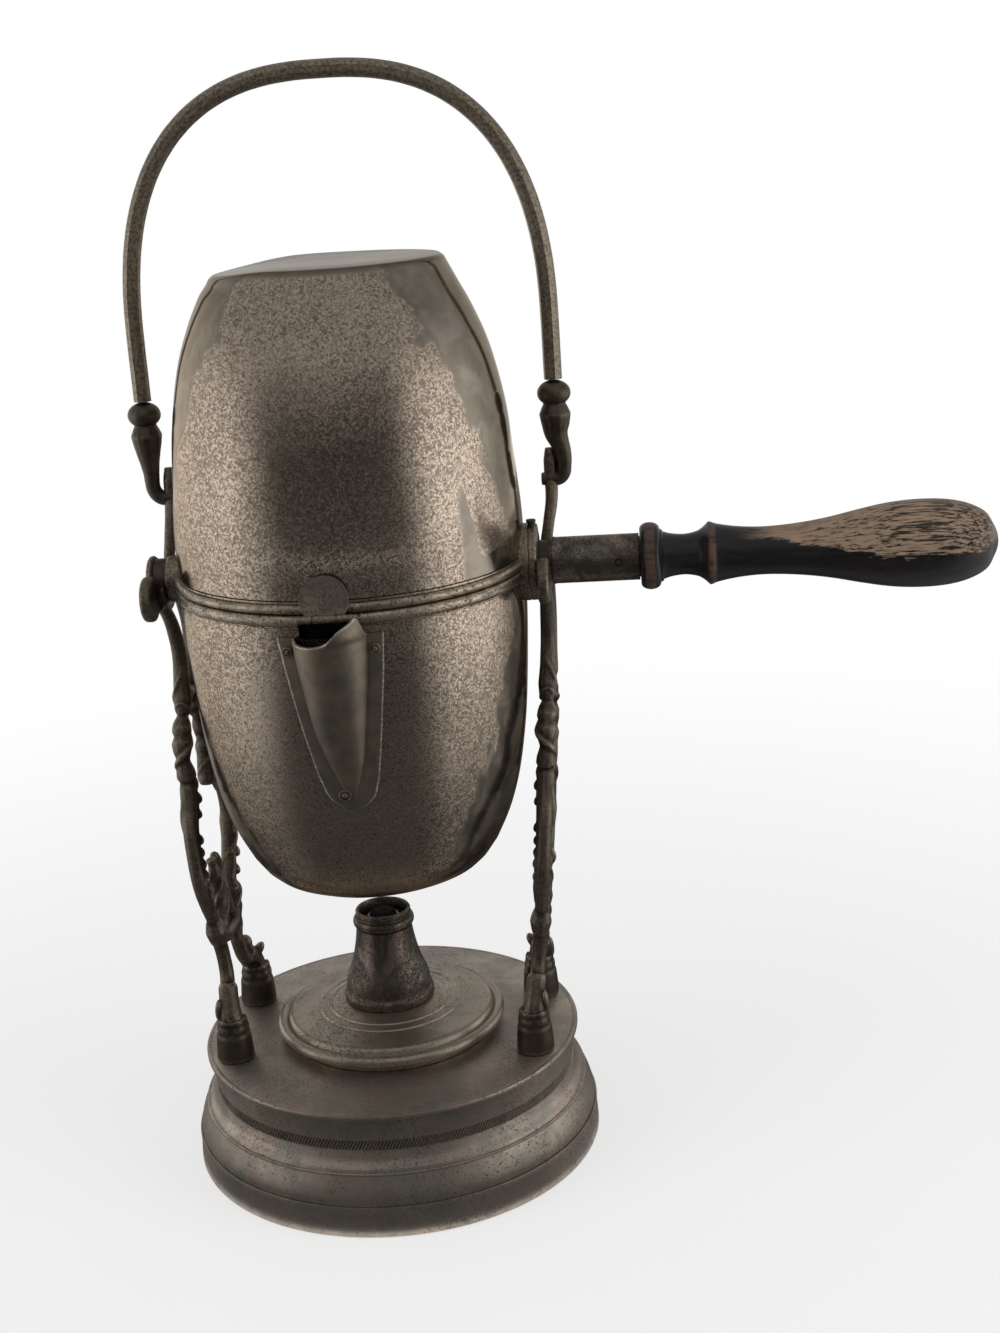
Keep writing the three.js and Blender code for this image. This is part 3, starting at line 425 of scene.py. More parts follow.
# Tarnished plate: a bright metal clouded by grey film, eaten by small dark pits.
def platedFinish(name, look):
    finish, tree = startFinish(name)
    place = objectPlace(tree)
    cloud = grain(tree, place, look["cloud"], 3, 0.55)
    mottle = grain(tree, place, look["mottle"], 4, 0.6, 0.3)
    crumb = grain(tree, place, look["pit"], 3, 0.6, 0.5)
    reach = spreadOver(tree, cloud, 0.36, 0.62, look["pitsFew"], look["pitsMany"])
    pits = spreadOver(tree, minus(tree, crumb, reach), -0.035, 0.035)
    film = spreadOver(tree, mottle, 0.34, 0.66)
    metal = blend(tree, film, look["bright"], look["film"])
    if "tints" in look:
        patch = grain(tree, place, 17, 4, 0.62, 0.6)
        metal = blend(tree, spreadOver(tree, patch, 0.5, 0.62, 0, 0.55), metal, look["tints"][0])
        metal = blend(tree, spreadOver(tree, patch, 0.48, 0.38, 0, 0.55), metal, look["tints"][1])
    metal = blend(tree, times(tree, pits, look["pitDepth"]), metal, look["pitColour"])
    rough = timesPlus(tree, film, 0.08, look["rough"])
    rough = timesPlus(tree, pits, 0.25, rough)
    endFinish(tree, {
        "Base Color": metal, "Metallic": 0.95, "Roughness": rough,
        "Normal": bumpOf(tree, minus(tree, 1, pits), 0.35, 0.12)})
    return finish


# Where the egg's plate is plain and stained: both sides past a ragged line, tongues over the seam,
# and the flat ends.
def stainOver(tree, place, turn, height, stain):
    away = sizeOf(tree, turn)
    away = calculate(tree, "MINIMUM", away, minus(tree, 180, away))
    wander = minus(tree, grain(tree, place, stain["patch"], 4, 0.6, 0.4), 0.5)
    far = larger(tree, minus(tree, sizeOf(tree, height), stain["straight"]), 0)
    bound = timesPlus(tree, far, -stain["narrowing"], stain["halfAngle"])
    bound = timesPlus(tree, wander, stain["wander"], bound)
    past = minus(tree, away, bound)
    plain = spreadOver(tree, past, -stain["edge"], stain["edge"])
    # one tongue climbs from the seam on the handle side, and a low one lies on the other
    tongue = sizeOf(tree, minus(tree, turn, stain["tongueAngle"]))
    tongue = spreadOver(tree, tongue, stain["tongueWidth"], 0)
    tongue = timesPlus(tree, tongue, stain["tongueRise"], stain["low"])
    tongue = timesPlus(tree, wander, stain["tongueWander"], tongue)
    tongue = spreadOver(tree, minus(tree, tongue, height), -0.7, 0.7)
    beside = spreadOver(tree, turn, stain["tongueAngle"] - 3, stain["tongueAngle"] - 1)
    beside = larger(tree, beside, spreadOver(tree, turn, stain["lowAngle"], stain["lowAngle"] - 2))
    plain = larger(tree, plain, times(tree, tongue, times(tree, beside, stain["tongue"])))
    flatEnd = spreadOver(tree, sizeOf(tree, height), stain["flatEnd"], stain["flatEnd"] + 1.5, 0, 0.8)
    return away, past, larger(tree, plain, flatEnd)


# The egg's plate: pitted front and back, smooth and clouded towards both sides, with stained edges, and
# painted shade darkening the boiler's flat top.
def eggFinish(name, look, stain):
    finish, tree = startFinish(name)
    place = objectPlace(tree)
    split = splitUp(tree, place)
    turn = degreesRound(tree, split)
    height = timesPlus(tree, split[2], 1 / mm, -seam)
    away, past, plain = stainOver(tree, place, turn, height, stain)
    # pits: few on the calm middle of the lower half and near the top
    calm = times(tree, spreadOver(tree, away, *look["calmAcross"]),
                 spreadOver(tree, height, *look["calmBelow"]))
    calm = timesPlus(tree, spreadOver(tree, height, *look["calmAbove"]), 0.55, calm)
    crumb = addNode(tree, "ShaderNodeTexVoronoi", {"Vector": place, "Scale": 1 / (look["pit"] * mm)})
    crumb = addNode(tree, "ShaderNodeSeparateColor", {"Color": crumb.outputs["Color"]})
    soft = minus(tree, grain(tree, place, 1.6, 2, 0.6), 0.5)
    fine = crumb.outputs["Green"]
    crumb = timesPlus(tree, soft, 1.5, crumb.outputs["Red"])
    cloud = grain(tree, place, look["cloud"], 3, 0.55)
    reach = spreadOver(tree, cloud, 0.38, 0.6, look["pitsFew"], look["pitsMany"])
    reach = timesPlus(tree, plain, 0.8, reach)
    reach = timesPlus(tree, calm, 0.3, reach)
    pits = spreadOver(tree, minus(tree, crumb, reach), -0.12, 0.12)
    flecks = times(tree, spreadOver(tree, fine, 0.3, 0.8), minus(tree, 1, plain))
    flecks = times(tree, flecks, timesPlus(tree, calm, -0.5, 1))
    metal = blend(tree, flecks, look["film"], look["bright"])
    shade = spreadOver(tree, grain(tree, place, 11, 4, 0.6, 0.3), 0.38, 0.62)
    metal = blend(tree, plain, metal, blend(tree, shade, stain["colour"], stain["light"]))
    outline = spreadOver(tree, sizeOf(tree, minus(tree, past, 1.2)), 1.5, 0.2)
    outline = times(tree, outline, spreadOver(tree, shade, 0.3, 0.9, 0.05, 0.3))
    metal = blend(tree, outline, metal, look["pitColour"])
    metal = blend(tree, times(tree, pits, look["pitDepth"]), metal, look["pitColour"])
    # painted shade: the boiler's flat top is darkened towards a dark colour
    metal = blend(tree, spreadOver(tree, height, *look["lid"], 0, 0.6), metal, look["lidColour"])
    rough = timesPlus(tree, plain, look["roughPlain"], look["rough"])
    rough = timesPlus(tree, pits, look["roughPits"], rough)
    rough = timesPlus(tree, spreadOver(tree, height, -24, -70), look["roughBelow"], rough)
    rough = timesPlus(tree, spreadOver(tree, height, 15, 50), look["roughAbove"], rough)
    relief = timesPlus(tree, flecks, 0.25, minus(tree, 1, pits))
    endFinish(tree, {
        "Base Color": metal, "Metallic": 0.96, "Roughness": rough, "Specular Tint": look["edgeTint"],
        "Normal": bumpOf(tree, relief, 0.2, 0.08)})
    return finish


# Dark cast metal, rubbed lighter where it stands out; on the spout the same lighter colour is painted
# highlight.
def castFinish(name, look):
    finish, tree = startFinish(name)
    place = objectPlace(tree)
    mottle = grain(tree, place, 9, 4, 0.6, 0.3)
    crumb = grain(tree, place, 1.1, 3, 0.6)
    worn = addNode(tree, "ShaderNodeAttribute", attribute_name="wear").outputs["Fac"]
    worn = times(tree, worn, spreadOver(tree, crumb, 0.38, 0.6, 0.35, 1))
    metal = blend(tree, spreadOver(tree, mottle, 0.35, 0.65), look["dark"], look["brown"])
    metal = blend(tree, times(tree, worn, look["wear"]), metal, look["rubbed"])
    rough = timesPlus(tree, crumb, 0.2, look["rough"])
    endFinish(tree, {
        "Base Color": metal, "Metallic": 0.9, "Roughness": rough,
        "Normal": bumpOf(tree, crumb, 0.25, 0.15)})
    return finish


# Black lacquer, worn to the wood along the top past the neck, on the side that faces up.
def lacqueredWood(name, look):
    finish, tree = startFinish(name)
    split = splitUp(tree, objectPlace(tree))
    along = calculate(tree, "DIVIDE", split[0], mm)
    height = calculate(tree, "DIVIDE", minus(tree, split[2], seam * mm), mm)
    front = calculate(tree, "DIVIDE", split[1], mm)
    streaks = grain(tree, objectPlace(tree, (0.07, 1, 1)), look["streak"], 4, 0.7, 0.2)
    ragged = grain(tree, objectPlace(tree, (0.22, 1, 1)), look["patch"], 5, 0.7, 0.4)
    line = spreadOver(tree, along, 140, 205, *look["line"])
    over = minus(tree, timesPlus(tree, front, -0.25, height), line)
    over = timesPlus(tree, minus(tree, ragged, 0.5), look["ragged"], over)
    worn = times(tree, spreadOver(tree, over, -0.4, 0.8), spreadOver(tree, along, *look["worn"]))
    left = calculate(tree, "ADD", streaks, spreadOver(tree, along, 150, 225, -0.06, 0.055))
    worn = times(tree, worn, spreadOver(tree, left, 0.53, 0.6, 1, 0.04))
    # rubbed edges of the bead and the flare
    rims = [spreadOver(tree, sizeOf(tree, minus(tree, along, look[rim])), *look[rim + "Width"])
            for rim in ("bead", "flare")]
    rim = times(tree, calculate(tree, "ADD", *rims), spreadOver(tree, ragged, 0.36, 0.5, 0.25, 1))
    wood = blend(tree, spreadOver(tree, streaks, 0.3, 0.7), look["wood"], look["darkWood"])
    lacquer = blend(tree, spreadOver(tree, ragged, 0.4, 0.7), look["lacquer"], look["thinLacquer"])
    colour = blend(tree, worn, lacquer, wood)
    colour = blend(tree, times(tree, rim, 0.85), colour, look["rubbed"])
    rough = timesPlus(tree, larger(tree, worn, times(tree, rim, 0.6)), 0.34, look["rough"])
    endFinish(tree, {
        "Base Color": colour, "Metallic": 0, "Roughness": rough,
        "Normal": bumpOf(tree, minus(tree, 1, worn), 0.3, 0.12)})
    return finish


def wovenCotton(name, look):
    finish, tree = startFinish(name)
    place = objectPlace(tree)
    strand = addNode(tree, "ShaderNodeTexWave", {
        "Vector": place, "Scale": look["strands"], "Distortion": 2, "Detail": 2}).outputs["Fac"]
    burnt = spreadOver(tree, splitUp(tree, place)[2], *look["burnt"])
    colour = blend(tree, burnt, blend(tree, strand, look["light"], look["dark"]), look["char"])
    endFinish(tree, {
        "Base Color": colour, "Roughness": 0.95, "Normal": bumpOf(tree, strand, 0.6, 0.3)})
    return finish


eggLook = {
    "bright": (0.68, 0.545, 0.425), "film": (0.4, 0.335, 0.27), "pitColour": (0.12, 0.095, 0.075),
    "cloud": 60, "mottle": 7, "pit": 0.62, "pitsFew": 0.8, "pitsMany": 0.52, "pitDepth": 0.66,
    "calmAcross": (36, 20),             # degrees from the front and back
    "calmBelow": (-12, -32), "calmAbove": (52, 92),     # from the seam
    # painted shade on the boiler's flat top: where it begins above the seam, and its colour
    "lid": (112.5, 114.5), "lidColour": (0.1, 0.078, 0.055),
    "rough": 0.205, "roughPlain": -0.07, "roughPits": 0.07, "roughBelow": 0.05, "roughAbove": -0.02,
    "edgeTint": (0.82, 0.74, 0.64, 1),
}
boilerStain = {
    "halfAngle": 74, "straight": 20, "narrowing": 0.42, "patch": 16, "wander": 26, "edge": 1.2,
    "colour": (0.25, 0.215, 0.175), "light": (0.34, 0.295, 0.245), "flatEnd": 112,
    "tongue": 1, "tongueAngle": 48, "tongueWidth": 5, "tongueRise": 24, "tongueWander": 26,
    "low": 15, "lowAngle": -55,
}
serverStain = dict(boilerStain, halfAngle=70, narrowing=0.36, colour=(0.17, 0.15, 0.128), tongue=0)
rimLook = {
    "bright": (0.62, 0.51, 0.39), "film": (0.36, 0.3, 0.235), "pitColour": (0.06, 0.048, 0.038),
    "cloud": 55, "mottle": 5, "pit": 0.8, "pitsFew": 0.6, "pitsMany": 0.53, "pitDepth": 0.8, "rough": 0.28,
}
baseLook = {
    "bright": (0.53, 0.445, 0.37), "film": (0.39, 0.35, 0.3), "pitColour": (0.17, 0.14, 0.11),
    "cloud": 30, "mottle": 13, "pit": 0.9, "pitsFew": 0.66, "pitsMany": 0.57, "pitDepth": 0.6, "rough": 0.42,
    "tints": [(0.44, 0.34, 0.28), (0.33, 0.325, 0.26)],     # copper showing, and green bloom
}
# lighter plate for the band's ridges: rubbed, and painted highlight on their crests
rubbedHighlightLook = dict(baseLook, bright=(0.62, 0.56, 0.47), film=(0.46, 0.41, 0.35), rough=0.4)
# dark plate for painted shade in the recess behind the band's ridges
recessShadeLook = dict(baseLook, bright=(0.16, 0.135, 0.11), film=(0.11, 0.095, 0.08), rough=0.5)
burnerLook = dict(baseLook, bright=(0.5, 0.42, 0.325), film=(0.46, 0.4, 0.335),
                  pit=0.8, pitsMany=0.54, rough=0.36)
coneLook = dict(burnerLook, bright=(0.17, 0.138, 0.108), film=(0.13, 0.11, 0.09),
                pitColour=(0.06, 0.048, 0.038), pitsFew=0.6, pitsMany=0.5, rough=0.3)
tinLook = dict(eggLook, bright=(0.6, 0.58, 0.54), film=(0.45, 0.43, 0.4), pitsMany=0.62, rough=0.36)
# near black, as painted shade inside the spout's channel and on the boiler rim's neck below the seam
insideShadeLook = {
    "bright": (0.03, 0.022, 0.017), "film": (0.012, 0.009, 0.008), "pitColour": (0.006, 0.005, 0.004),
    "cloud": 30, "mottle": 5, "pit": 1, "pitsFew": 0.6, "pitsMany": 0.5, "pitDepth": 0.8, "rough": 0.6,
}
castLook = {
    "dark": (0.07, 0.058, 0.045), "brown": (0.115, 0.091, 0.067), "rubbed": (0.46, 0.385, 0.29),
    "wear": 0.75, "rough": 0.3,
}
# the spout's near-white rubbed colour is painted highlight along the sheet's edges, lip and folds
spoutLook = {
    "dark": (0.2, 0.175, 0.145), "brown": (0.3, 0.24, 0.18), "rubbed": (1, 0.9, 0.76),
    "wear": 1, "rough": 0.36,
}
flapLook = {
    "dark": (0.085, 0.074, 0.063), "brown": (0.12, 0.102, 0.084), "rubbed": (0.46, 0.38, 0.3),
    "wear": 0.7, "rough": 0.38,
}
woodLook = {
    "wood": (0.29, 0.2, 0.135), "darkWood": (0.16, 0.105, 0.068), "rubbed": (0.085, 0.045, 0.028),
    "lacquer": (0.007, 0.006, 0.0065), "thinLacquer": (0.016, 0.012, 0.01), "rough": 0.26,
    "streak": 0.85, "patch": 5, "ragged": 13,
    "worn": (143, 160),         # where the bare patch begins, along X
    "line": (8, 2.4),           # its lower edge over the handle's axis, at the neck and further out
    "bead": 111.6, "beadWidth": (2.3, 1.2), "flare": 134.4, "flareWidth": (1.9, 1),
}
cottonLook = {
    "light": (0.62, 0.55, 0.42), "dark": (0.3, 0.25, 0.18), "char": (0.012, 0.01, 0.009),
    "strands": 420, "burnt": (0.088, 0.093),
}

boilerPlate = eggFinish("boilerPlate", eggLook, boilerStain)
serverPlate = eggFinish("serverPlate", eggLook, serverStain)
rimPlate = platedFinish("rimPlate", rimLook)
basePlate = platedFinish("basePlate", baseLook)
rubbedHighlightPlate = platedFinish("rubbedHighlightPlate", rubbedHighlightLook)
recessShade = platedFinish("recessShade", recessShadeLook)
burnerPlate = platedFinish("burnerPlate", burnerLook)
conePlate = platedFinish("conePlate", coneLook)
innerTin = platedFinish("innerTin", tinLook)
insideShade = platedFinish("insideShade", insideShadeLook)
castBrass = castFinish("castBrass", castLook)
spoutPlate = castFinish("spoutPlate", spoutLook)
flapPlate = castFinish("flapPlate", flapLook)
blackWood = lacqueredWood("blackWood", woodLook)
wickCotton = wovenCotton("wickCotton", cottonLook)
print("finishes mixed")


# The egg's two halves and their beads

egg = {
    "radius": 64.9,
    "wall": 1,
    "sides": 144,
    # insets from the radius, and distances from the seam
    "boiler": [(0, 4.9), (0.1, 20), (1.7, 40), (3.7, 60), (7.7, 80), (13.2, 95), (18.1, 105), (21.3, 111.5)],
    "boilerEdge": [(22.3, 113.6), (23.6, 114.6), (25.4, 114.8), (45, 114.5), (64.9, 114.4)],
    "server": [(0, 5.1), (0.3, 20), (1.4, 40), (3.1, 60), (6.3, 80), (10.7, 95), (16.3, 107)],
    "serverEdge": [(20.2, 112.6), (23.2, 115.4), (27, 117.2), (33, 118), (64.9, 118)],
    "sag": 2.6,             # the top is pressed in on the left
    "dents": 0.5,
    "dentSize": 34,
}
rims = {"radius": 66.5, "neck": 63.2, "neckDepth": 9.5}


def eggRun(belly, edge, side):
    run = curveThrough(egg[belly], 7) + egg[edge]
    return [(egg["radius"] - inset, seam + side * distance) for inset, distance in run]


boilerRun = eggRun("boiler", "boilerEdge", 1)
serverRun = eggRun("server", "serverEdge", -1)


def radiusAt(run, height):
    ordered = sorted((along, radius) for radius, along in run)
    return float(np.interp(height, [a for a, _ in ordered], [r for _, r in ordered]))


dents = bpy.data.textures.new("dents", "CLOUDS")
dents.noise_scale = egg["dentSize"] * mm
dents.noise_depth = 1


def makeHalf(name, run, body, finish, node):
    half = turnOnLathe(name, run, egg["sides"])
    if run is boilerRun:
        for vertex in half.data.vertices:
            sag = eased(-15, -45, vertex.co.x / mm) * eased(104, 114, vertex.co.z / mm - seam)
            vertex.co.z -= egg["sag"] * sag * mm
    modify(half, "DISPLACE", texture=dents, texture_coords="LOCAL", strength=egg["dents"] * mm, mid_level=0.5)
    modify(half, "SOLIDIFY", thickness=egg["wall"] * mm, offset=-1)
    complete(half, body, "plated_metal", finish, node, 40)


def makeRims():
    outer, neck, depth = rims["radius"], rims["neck"], rims["neckDepth"]
    upper = [(neck - 1, -depth), (neck, -depth), (neck, 0.15), (outer - 1.9, 0.15)]
    upper += roundEdge(outer - 1.7, outer, 0.15, 3.7)
    upper += [(outer - 1.6, 3.75), (outer - 1.6, 4.0), (outer - 1.1, 4.1), (outer - 1.1, 4.6),
              (neck - 1, 4.7), (neck - 1, -depth)]
    rim = turnOnLathe("boilerRim", shifted(seam, upper), egg["sides"])
    complete(rim, "pot", "plated_metal", rimPlate, "boiler_rim", 40)
    # the rim's neck below the seam is painted near black: painted shade
    paintFaces(rim, insideShade, lambda middle, normal: middle.z < seam + 0.1)
    lower = [(neck + 0.6, -4.8), (outer - 1.3, -4.8), (outer - 1.3, -4.5)]
    lower += roundEdge(outer - 1.6, outer, -4.4, -0.15)
    lower += [(neck + 0.6, -0.15), (neck + 0.6, -4.8)]
    rim = turnOnLathe("serverRim", shifted(seam, lower), egg["sides"])
    complete(rim, "server", "plated_metal", rimPlate, "server_rim", 40)


makeHalf("boilerShell", boilerRun, "pot", boilerPlate, "boiler_shell")
makeHalf("serverShell", serverRun, "server", serverPlate, "server_shell")
makeRims()
print("egg turned")


# Base and burner

base = {
    "radius": 80, "height": 47, "sides": 160, "waist": 72.2, "lip": 74.6, "mouth": 38,
    "panSeam": 12.5,
    "step": 24.4,           # where the foot's swell ends under a groove
}
band = {
    "low": 31.6, "high": 35.5, "count": 356, "slant": 1.9, "depth": 0.42, "crest": (0.4, 0.94, 1),
    "sunk": 0.36, "rubbed": 0.3,        # how far in, and how much further where it is rubbed away
    "from": 38, "to": 74,               # degrees from the front where the rubbing begins and is full
}


def makeBase():
    radius, top, waist, lip = base["radius"], base["height"], base["waist"], base["lip"]
    panSeam, step, mouth = base["panSeam"], base["step"], base["mouth"]
    low, high = band["low"], band["high"]
    pan = outFrom(radius, [(-0.2, 0), (0.7, 0.3), (1.1, 1.1), (0.8, 6), (0.6, 10), (0.75, panSeam - 0.5),
                           (0.6, panSeam), (0.1, panSeam), (-0.1, panSeam - 0.4), (-0.1, 1.2), (-1, 1)])
    piece = turnOnLathe("basePan", [(0, 0)] + pan + [(0, 1)], base["sides"])
    complete(piece, "stand", "base_metal", basePlate, "base_pan")
    run = outFrom(radius, [(-0.4, 2), (-0.4, panSeam - 0.4)])
    run += curveThrough(outFrom(radius, [
        (-0.1, panSeam + 0.3), (-0.3, 15.4), (-1.2, 18.6), (-2.4, 21.6), (-3.2, step - 0.9)]), 4)
    run += outFrom(radius, [(-3.2, step - 0.4), (-3.5, step - 0.1), (-4.2, step), (-4.4, step + 0.4)])
    neck = outFrom(waist, [(1.5, 27.6), (0.5, 30.2), (0.1, low)])
    run += curveThrough([(radius - 4.5, step + 0.8)] + neck, 4)
    run += outFrom(waist, [(-0.35, low + 0.12), (-0.35, high - 0.12), (0, high), (0, 43.4), (0.2, 44.1)])
    run += outFrom(lip, [(-0.9, 44.5), (-0.1, 44.9), (0, 45.5), (0, 46.2), (-0.3, 46.8), (-0.9, top),
                         (-1.4, top), (-1.8, top - 0.2), (-2.2, top)])
    run += [(mouth, top), (mouth, top - 1.2)]       # and back along the inside
    run += outFrom(waist, [(-1.4, top - 1.2), (-1.4, 30)])
    run += outFrom(radius, [(-6, 24), (-2, 13), (-1.6, 2), (-0.4, 2)])
    shell = turnOnLathe("baseShell", run, base["sides"])
    complete(shell, "stand", "base_metal", basePlate, "base_shell", 30)
    # painted shade: the recess behind the ridges is made dark
    paintFaces(shell, recessShade, lambda middle, normal: (
        low + 0.1 < middle.z < high - 0.1 and math.hypot(middle.x, middle.y) > waist - 1))
    # the ridges take a lighter plate: rubbed, and painted highlight
    fit(makeBand(waist), "stand", "base_metal", rubbedHighlightPlate)


# A band of small slanting ridges round the waist: one is shaped, and its copies go round.
# They are rubbed away towards both sides.
def makeBand(waist):
    pitch = tau * waist / band["count"]
    tall = band["high"] - band["low"] - 0.2
    nothingSelected()
    bpy.ops.mesh.primitive_plane_add(size=mm)
    ridge = bpy.context.object
    ridge.scale = (pitch * 0.5, tall, 1)
    applyPlace(ridge)
    editAll()
    bpy.ops.mesh.extrude_region_move(TRANSFORM_OT_translate={"value": (0, 0, band["depth"] * mm)})
    bpy.ops.transform.resize(value=band["crest"])
    bpy.ops.object.mode_set(mode="OBJECT")
    for vertex in ridge.data.vertices:
        vertex.co.x += vertex.co.y * band["slant"] / tall
    stand = Matrix.Rotation(math.radians(90), 4, "X")
    middle = (band["low"] + band["high"]) / 2
    copies = []
    for k in range(band["count"]):
        turn = 360 * k / band["count"]
        side = abs((turn + 90) % 180 - 90)
        sunk = band["sunk"] + band["rubbed"] * eased(band["from"], band["to"], side)
        copy = ridge.copy()
        copy.data = ridge.data.copy()
        copy.data.transform(stand)
        copy.data.transform(Matrix.Translation((0, -(waist - sunk) * mm, middle * mm)))
        copy.data.transform(Matrix.Rotation(math.radians(turn), 4, "Z"))
        bpy.context.collection.objects.link(copy)
        copies.append(copy)
    bpy.data.objects.remove(ridge)
    milled = joinAll("milledBand", copies)
    mergeAndFaceOut(milled, 0.001)
    return milled


# profiles as (radius, height); the cone's and the ring's heights are from their feet
burner = {
    "under": [(6.7, 59), (23, 58), (28, 56.6), (38, 55), (40, 50.6), (39.6, 47.3), (40.6, 47.3), (41, 50.4)],
    "rim": [(42.6, 50.2), (44.6, 50.6), (45.4, 52), (45.2, 53.5), (44.2, 54.5), (42.8, 54.6), (41.7, 54)],
    "rimTop": [(41.3, 53.6), (41, 54.2), (40.7, 55.4), (40.2, 56.1), (39.5, 56.5), (38.6, 56.6)],
    "dish": [(38, 56.5), (28.6, 57.7), (28.3, 58.2), (27.6, 58.3), (27.2, 58), (24.6, 58.5), (24.3, 59),
             (23.6, 59.1), (23.2, 58.8), (19.6, 60.2), (6.7, 60.3), (6.7, 59)],
    "coneFoot": 60.6,
    "flange": [(17.7, 0), (18, 0.5), (17.9, 2.6), (17.5, 3.4), (17.1, 3.7)],
    "cone": [(16.9, 4.2), (16.3, 8.8), (14.6, 13.4), (13.4, 17), (12.3, 21.5), (11.5, 26), (11, 30)],
    "bore": [(10, 30), (10.6, 26), (12.4, 17), (15.6, 8), (16.6, 0), (17.7, 0)],
    "ringFoot": 90.9,
    "ringBead": (10.8, 12.1, 0.1, 4.2),
    "ringTop": [(10.7, 4.4), (10.9, 5.2), (10.9, 6.4), (10.5, 7), (9.8, 7), (9.5, 6.5), (9.8, 0)],
}


def makeBurner():
    plate = burner["under"] + curveThrough(burner["rim"], 3) + burner["rimTop"] + burner["dish"]
    piece = turnOnLathe("burnerPlate", plate, 128)
    complete(piece, "stand", "base_metal", burnerPlate, "burner_plate", 28)
    cone = burner["flange"] + curveThrough(burner["cone"], 4) + burner["bore"]
    piece = turnOnLathe("burnerCone", shifted(burner["coneFoot"], cone), 96)
    complete(piece, "stand", "plated_metal", conePlate, "burner_cone")
    ring = [(9.8, 0), (10.8, 0)] + roundEdge(*burner["ringBead"], 8) + burner["ringTop"]
    piece = turnOnLathe("burnerRing", shifted(burner["ringFoot"], ring), 96)
    complete(piece, "stand", "plated_metal", conePlate, "burner_ring")


makeBase()
makeBurner()
print("base and burner turned")


# Trunnions and the side handle

# profiles as (radius, X)
trunnions = {
    "left": [(0, -64), (8.8, -64), (8.8, -69.4), (8.3, -70), (7.8, -70), (7.8, -74.8), (8.2, -74.9),
             (8.9, -75.8), (8.7, -76.9), (7.9, -77.5), (5, -77.9), (0, -78)],
    "right": [(0, 63), (14, 63), (14.5, 63.6), (14.5, 66.6), (14.2, 67), (14.5, 67.4), (14.4, 69.4),
              (13.8, 70), (11.4, 70.1), (11, 70.4), (10, 70.5), (9.6, 70.2), (7.8, 70), (7.8, 74.8),
              (7.6, 74.8), (7.6, 83.8), (0, 83.8)],
}
# profiles as (radius, place along X) from the ferrule's ends, the shoulder of the grip, and its tip
handle = {
    "ferruleStart": [(8, 0), (8.5, 0), (8.8, 0.3), (8.85, 1.2), (8.7, 1.6)],
    "ferruleEnd": [(8.7, -1), (8.75, -0.4), (8.6, 0), (8, 0)],
    "pinHole": 1.5,
    "gap": 0.3,
    "tenon": 7.6,
    "bead": (10.2, 12.5, 0, 7.4),
    "underBead": [(9.8, 7.6), (9.7, 8.2)],
    "neck": [(8.9, 8.6), (8.1, 11.2), (7.6, 15), (7.7, 18), (8.5, 21.4), (9.9, 23.6), (11.4, 25.2)],
    "grip": [(11.7, 25.6), (11.6, 26.4), (10.8, 28.6), (9.5, 36), (8.9, 45.5), (9.5, 57), (11.1, 69),
             (13.5, 80.5), (15.4, 91), (16.2, 101), (15.9, 111), (14.2, 119.5), (10.8, 126.2)],
    "tip": [(6.4, -1.9), (3, -0.4), (0, 0)],
}


def makeTrunnion(side, sides):
    piece = turnOnLathe("trunnion" + side.title(), trunnions[side], sides, "X", (0, 0, seam))
    complete(piece, "pot", "cast_metal", castBrass, "trunnion_" + side, wear=2)


def makeHandle():
    start, end = (corner.x for corner in boxOf("handle_ferrule"))
    tube = shifted(start, handle["ferruleStart"]) + shifted(end, handle["ferruleEnd"])
    ferrule = turnOnLathe("handleFerrule", tube + tube[:1], 96, "X", (0, 0, seam))
    pinLow, pinHigh = boxOf("ferrule_pin")
    nothingSelected()
    bpy.ops.mesh.primitive_cylinder_add(vertices=32, radius=handle["pinHole"] * mm, depth=40 * mm,
                                        location=Vector(((pinLow.x + pinHigh.x) / 2, 0, seam)) * mm,
                                        rotation=(math.radians(90), 0, 0))
    drill = bpy.context.object
    modify(ferrule, "BOOLEAN", object=drill, operation="DIFFERENCE", solver="EXACT")
    bpy.data.objects.remove(drill)
    complete(ferrule, "pot", "plated_metal", conePlate, "handle_ferrule")
    low, high = boxOf("handle_grip")
    tenon, shoulder = handle["tenon"], end + handle["gap"]
    grip = [(0, low.x), (tenon, low.x), (tenon, shoulder), (9.4, shoulder)]
    grip += shifted(shoulder, roundEdge(*handle["bead"], 12) + handle["underBead"])
    grip += curveThrough(shifted(shoulder, handle["neck"]), 4)
    grip += curveThrough(shifted(shoulder, handle["grip"]) + shifted(high.x, handle["tip"]), 4)
    piece = turnOnLathe("handleGrip", grip, 72, "X", (0, 0, seam))
    complete(piece, "pot", "black_wood", blackWood, "handle_grip", 30)


makeTrunnion("left", 64)
makeTrunnion("right", 72)
makeHandle()
print("trunnions and handle turned")


# Spout: one pressed sheet, a flat tongue on the egg with a half cone standing out of it

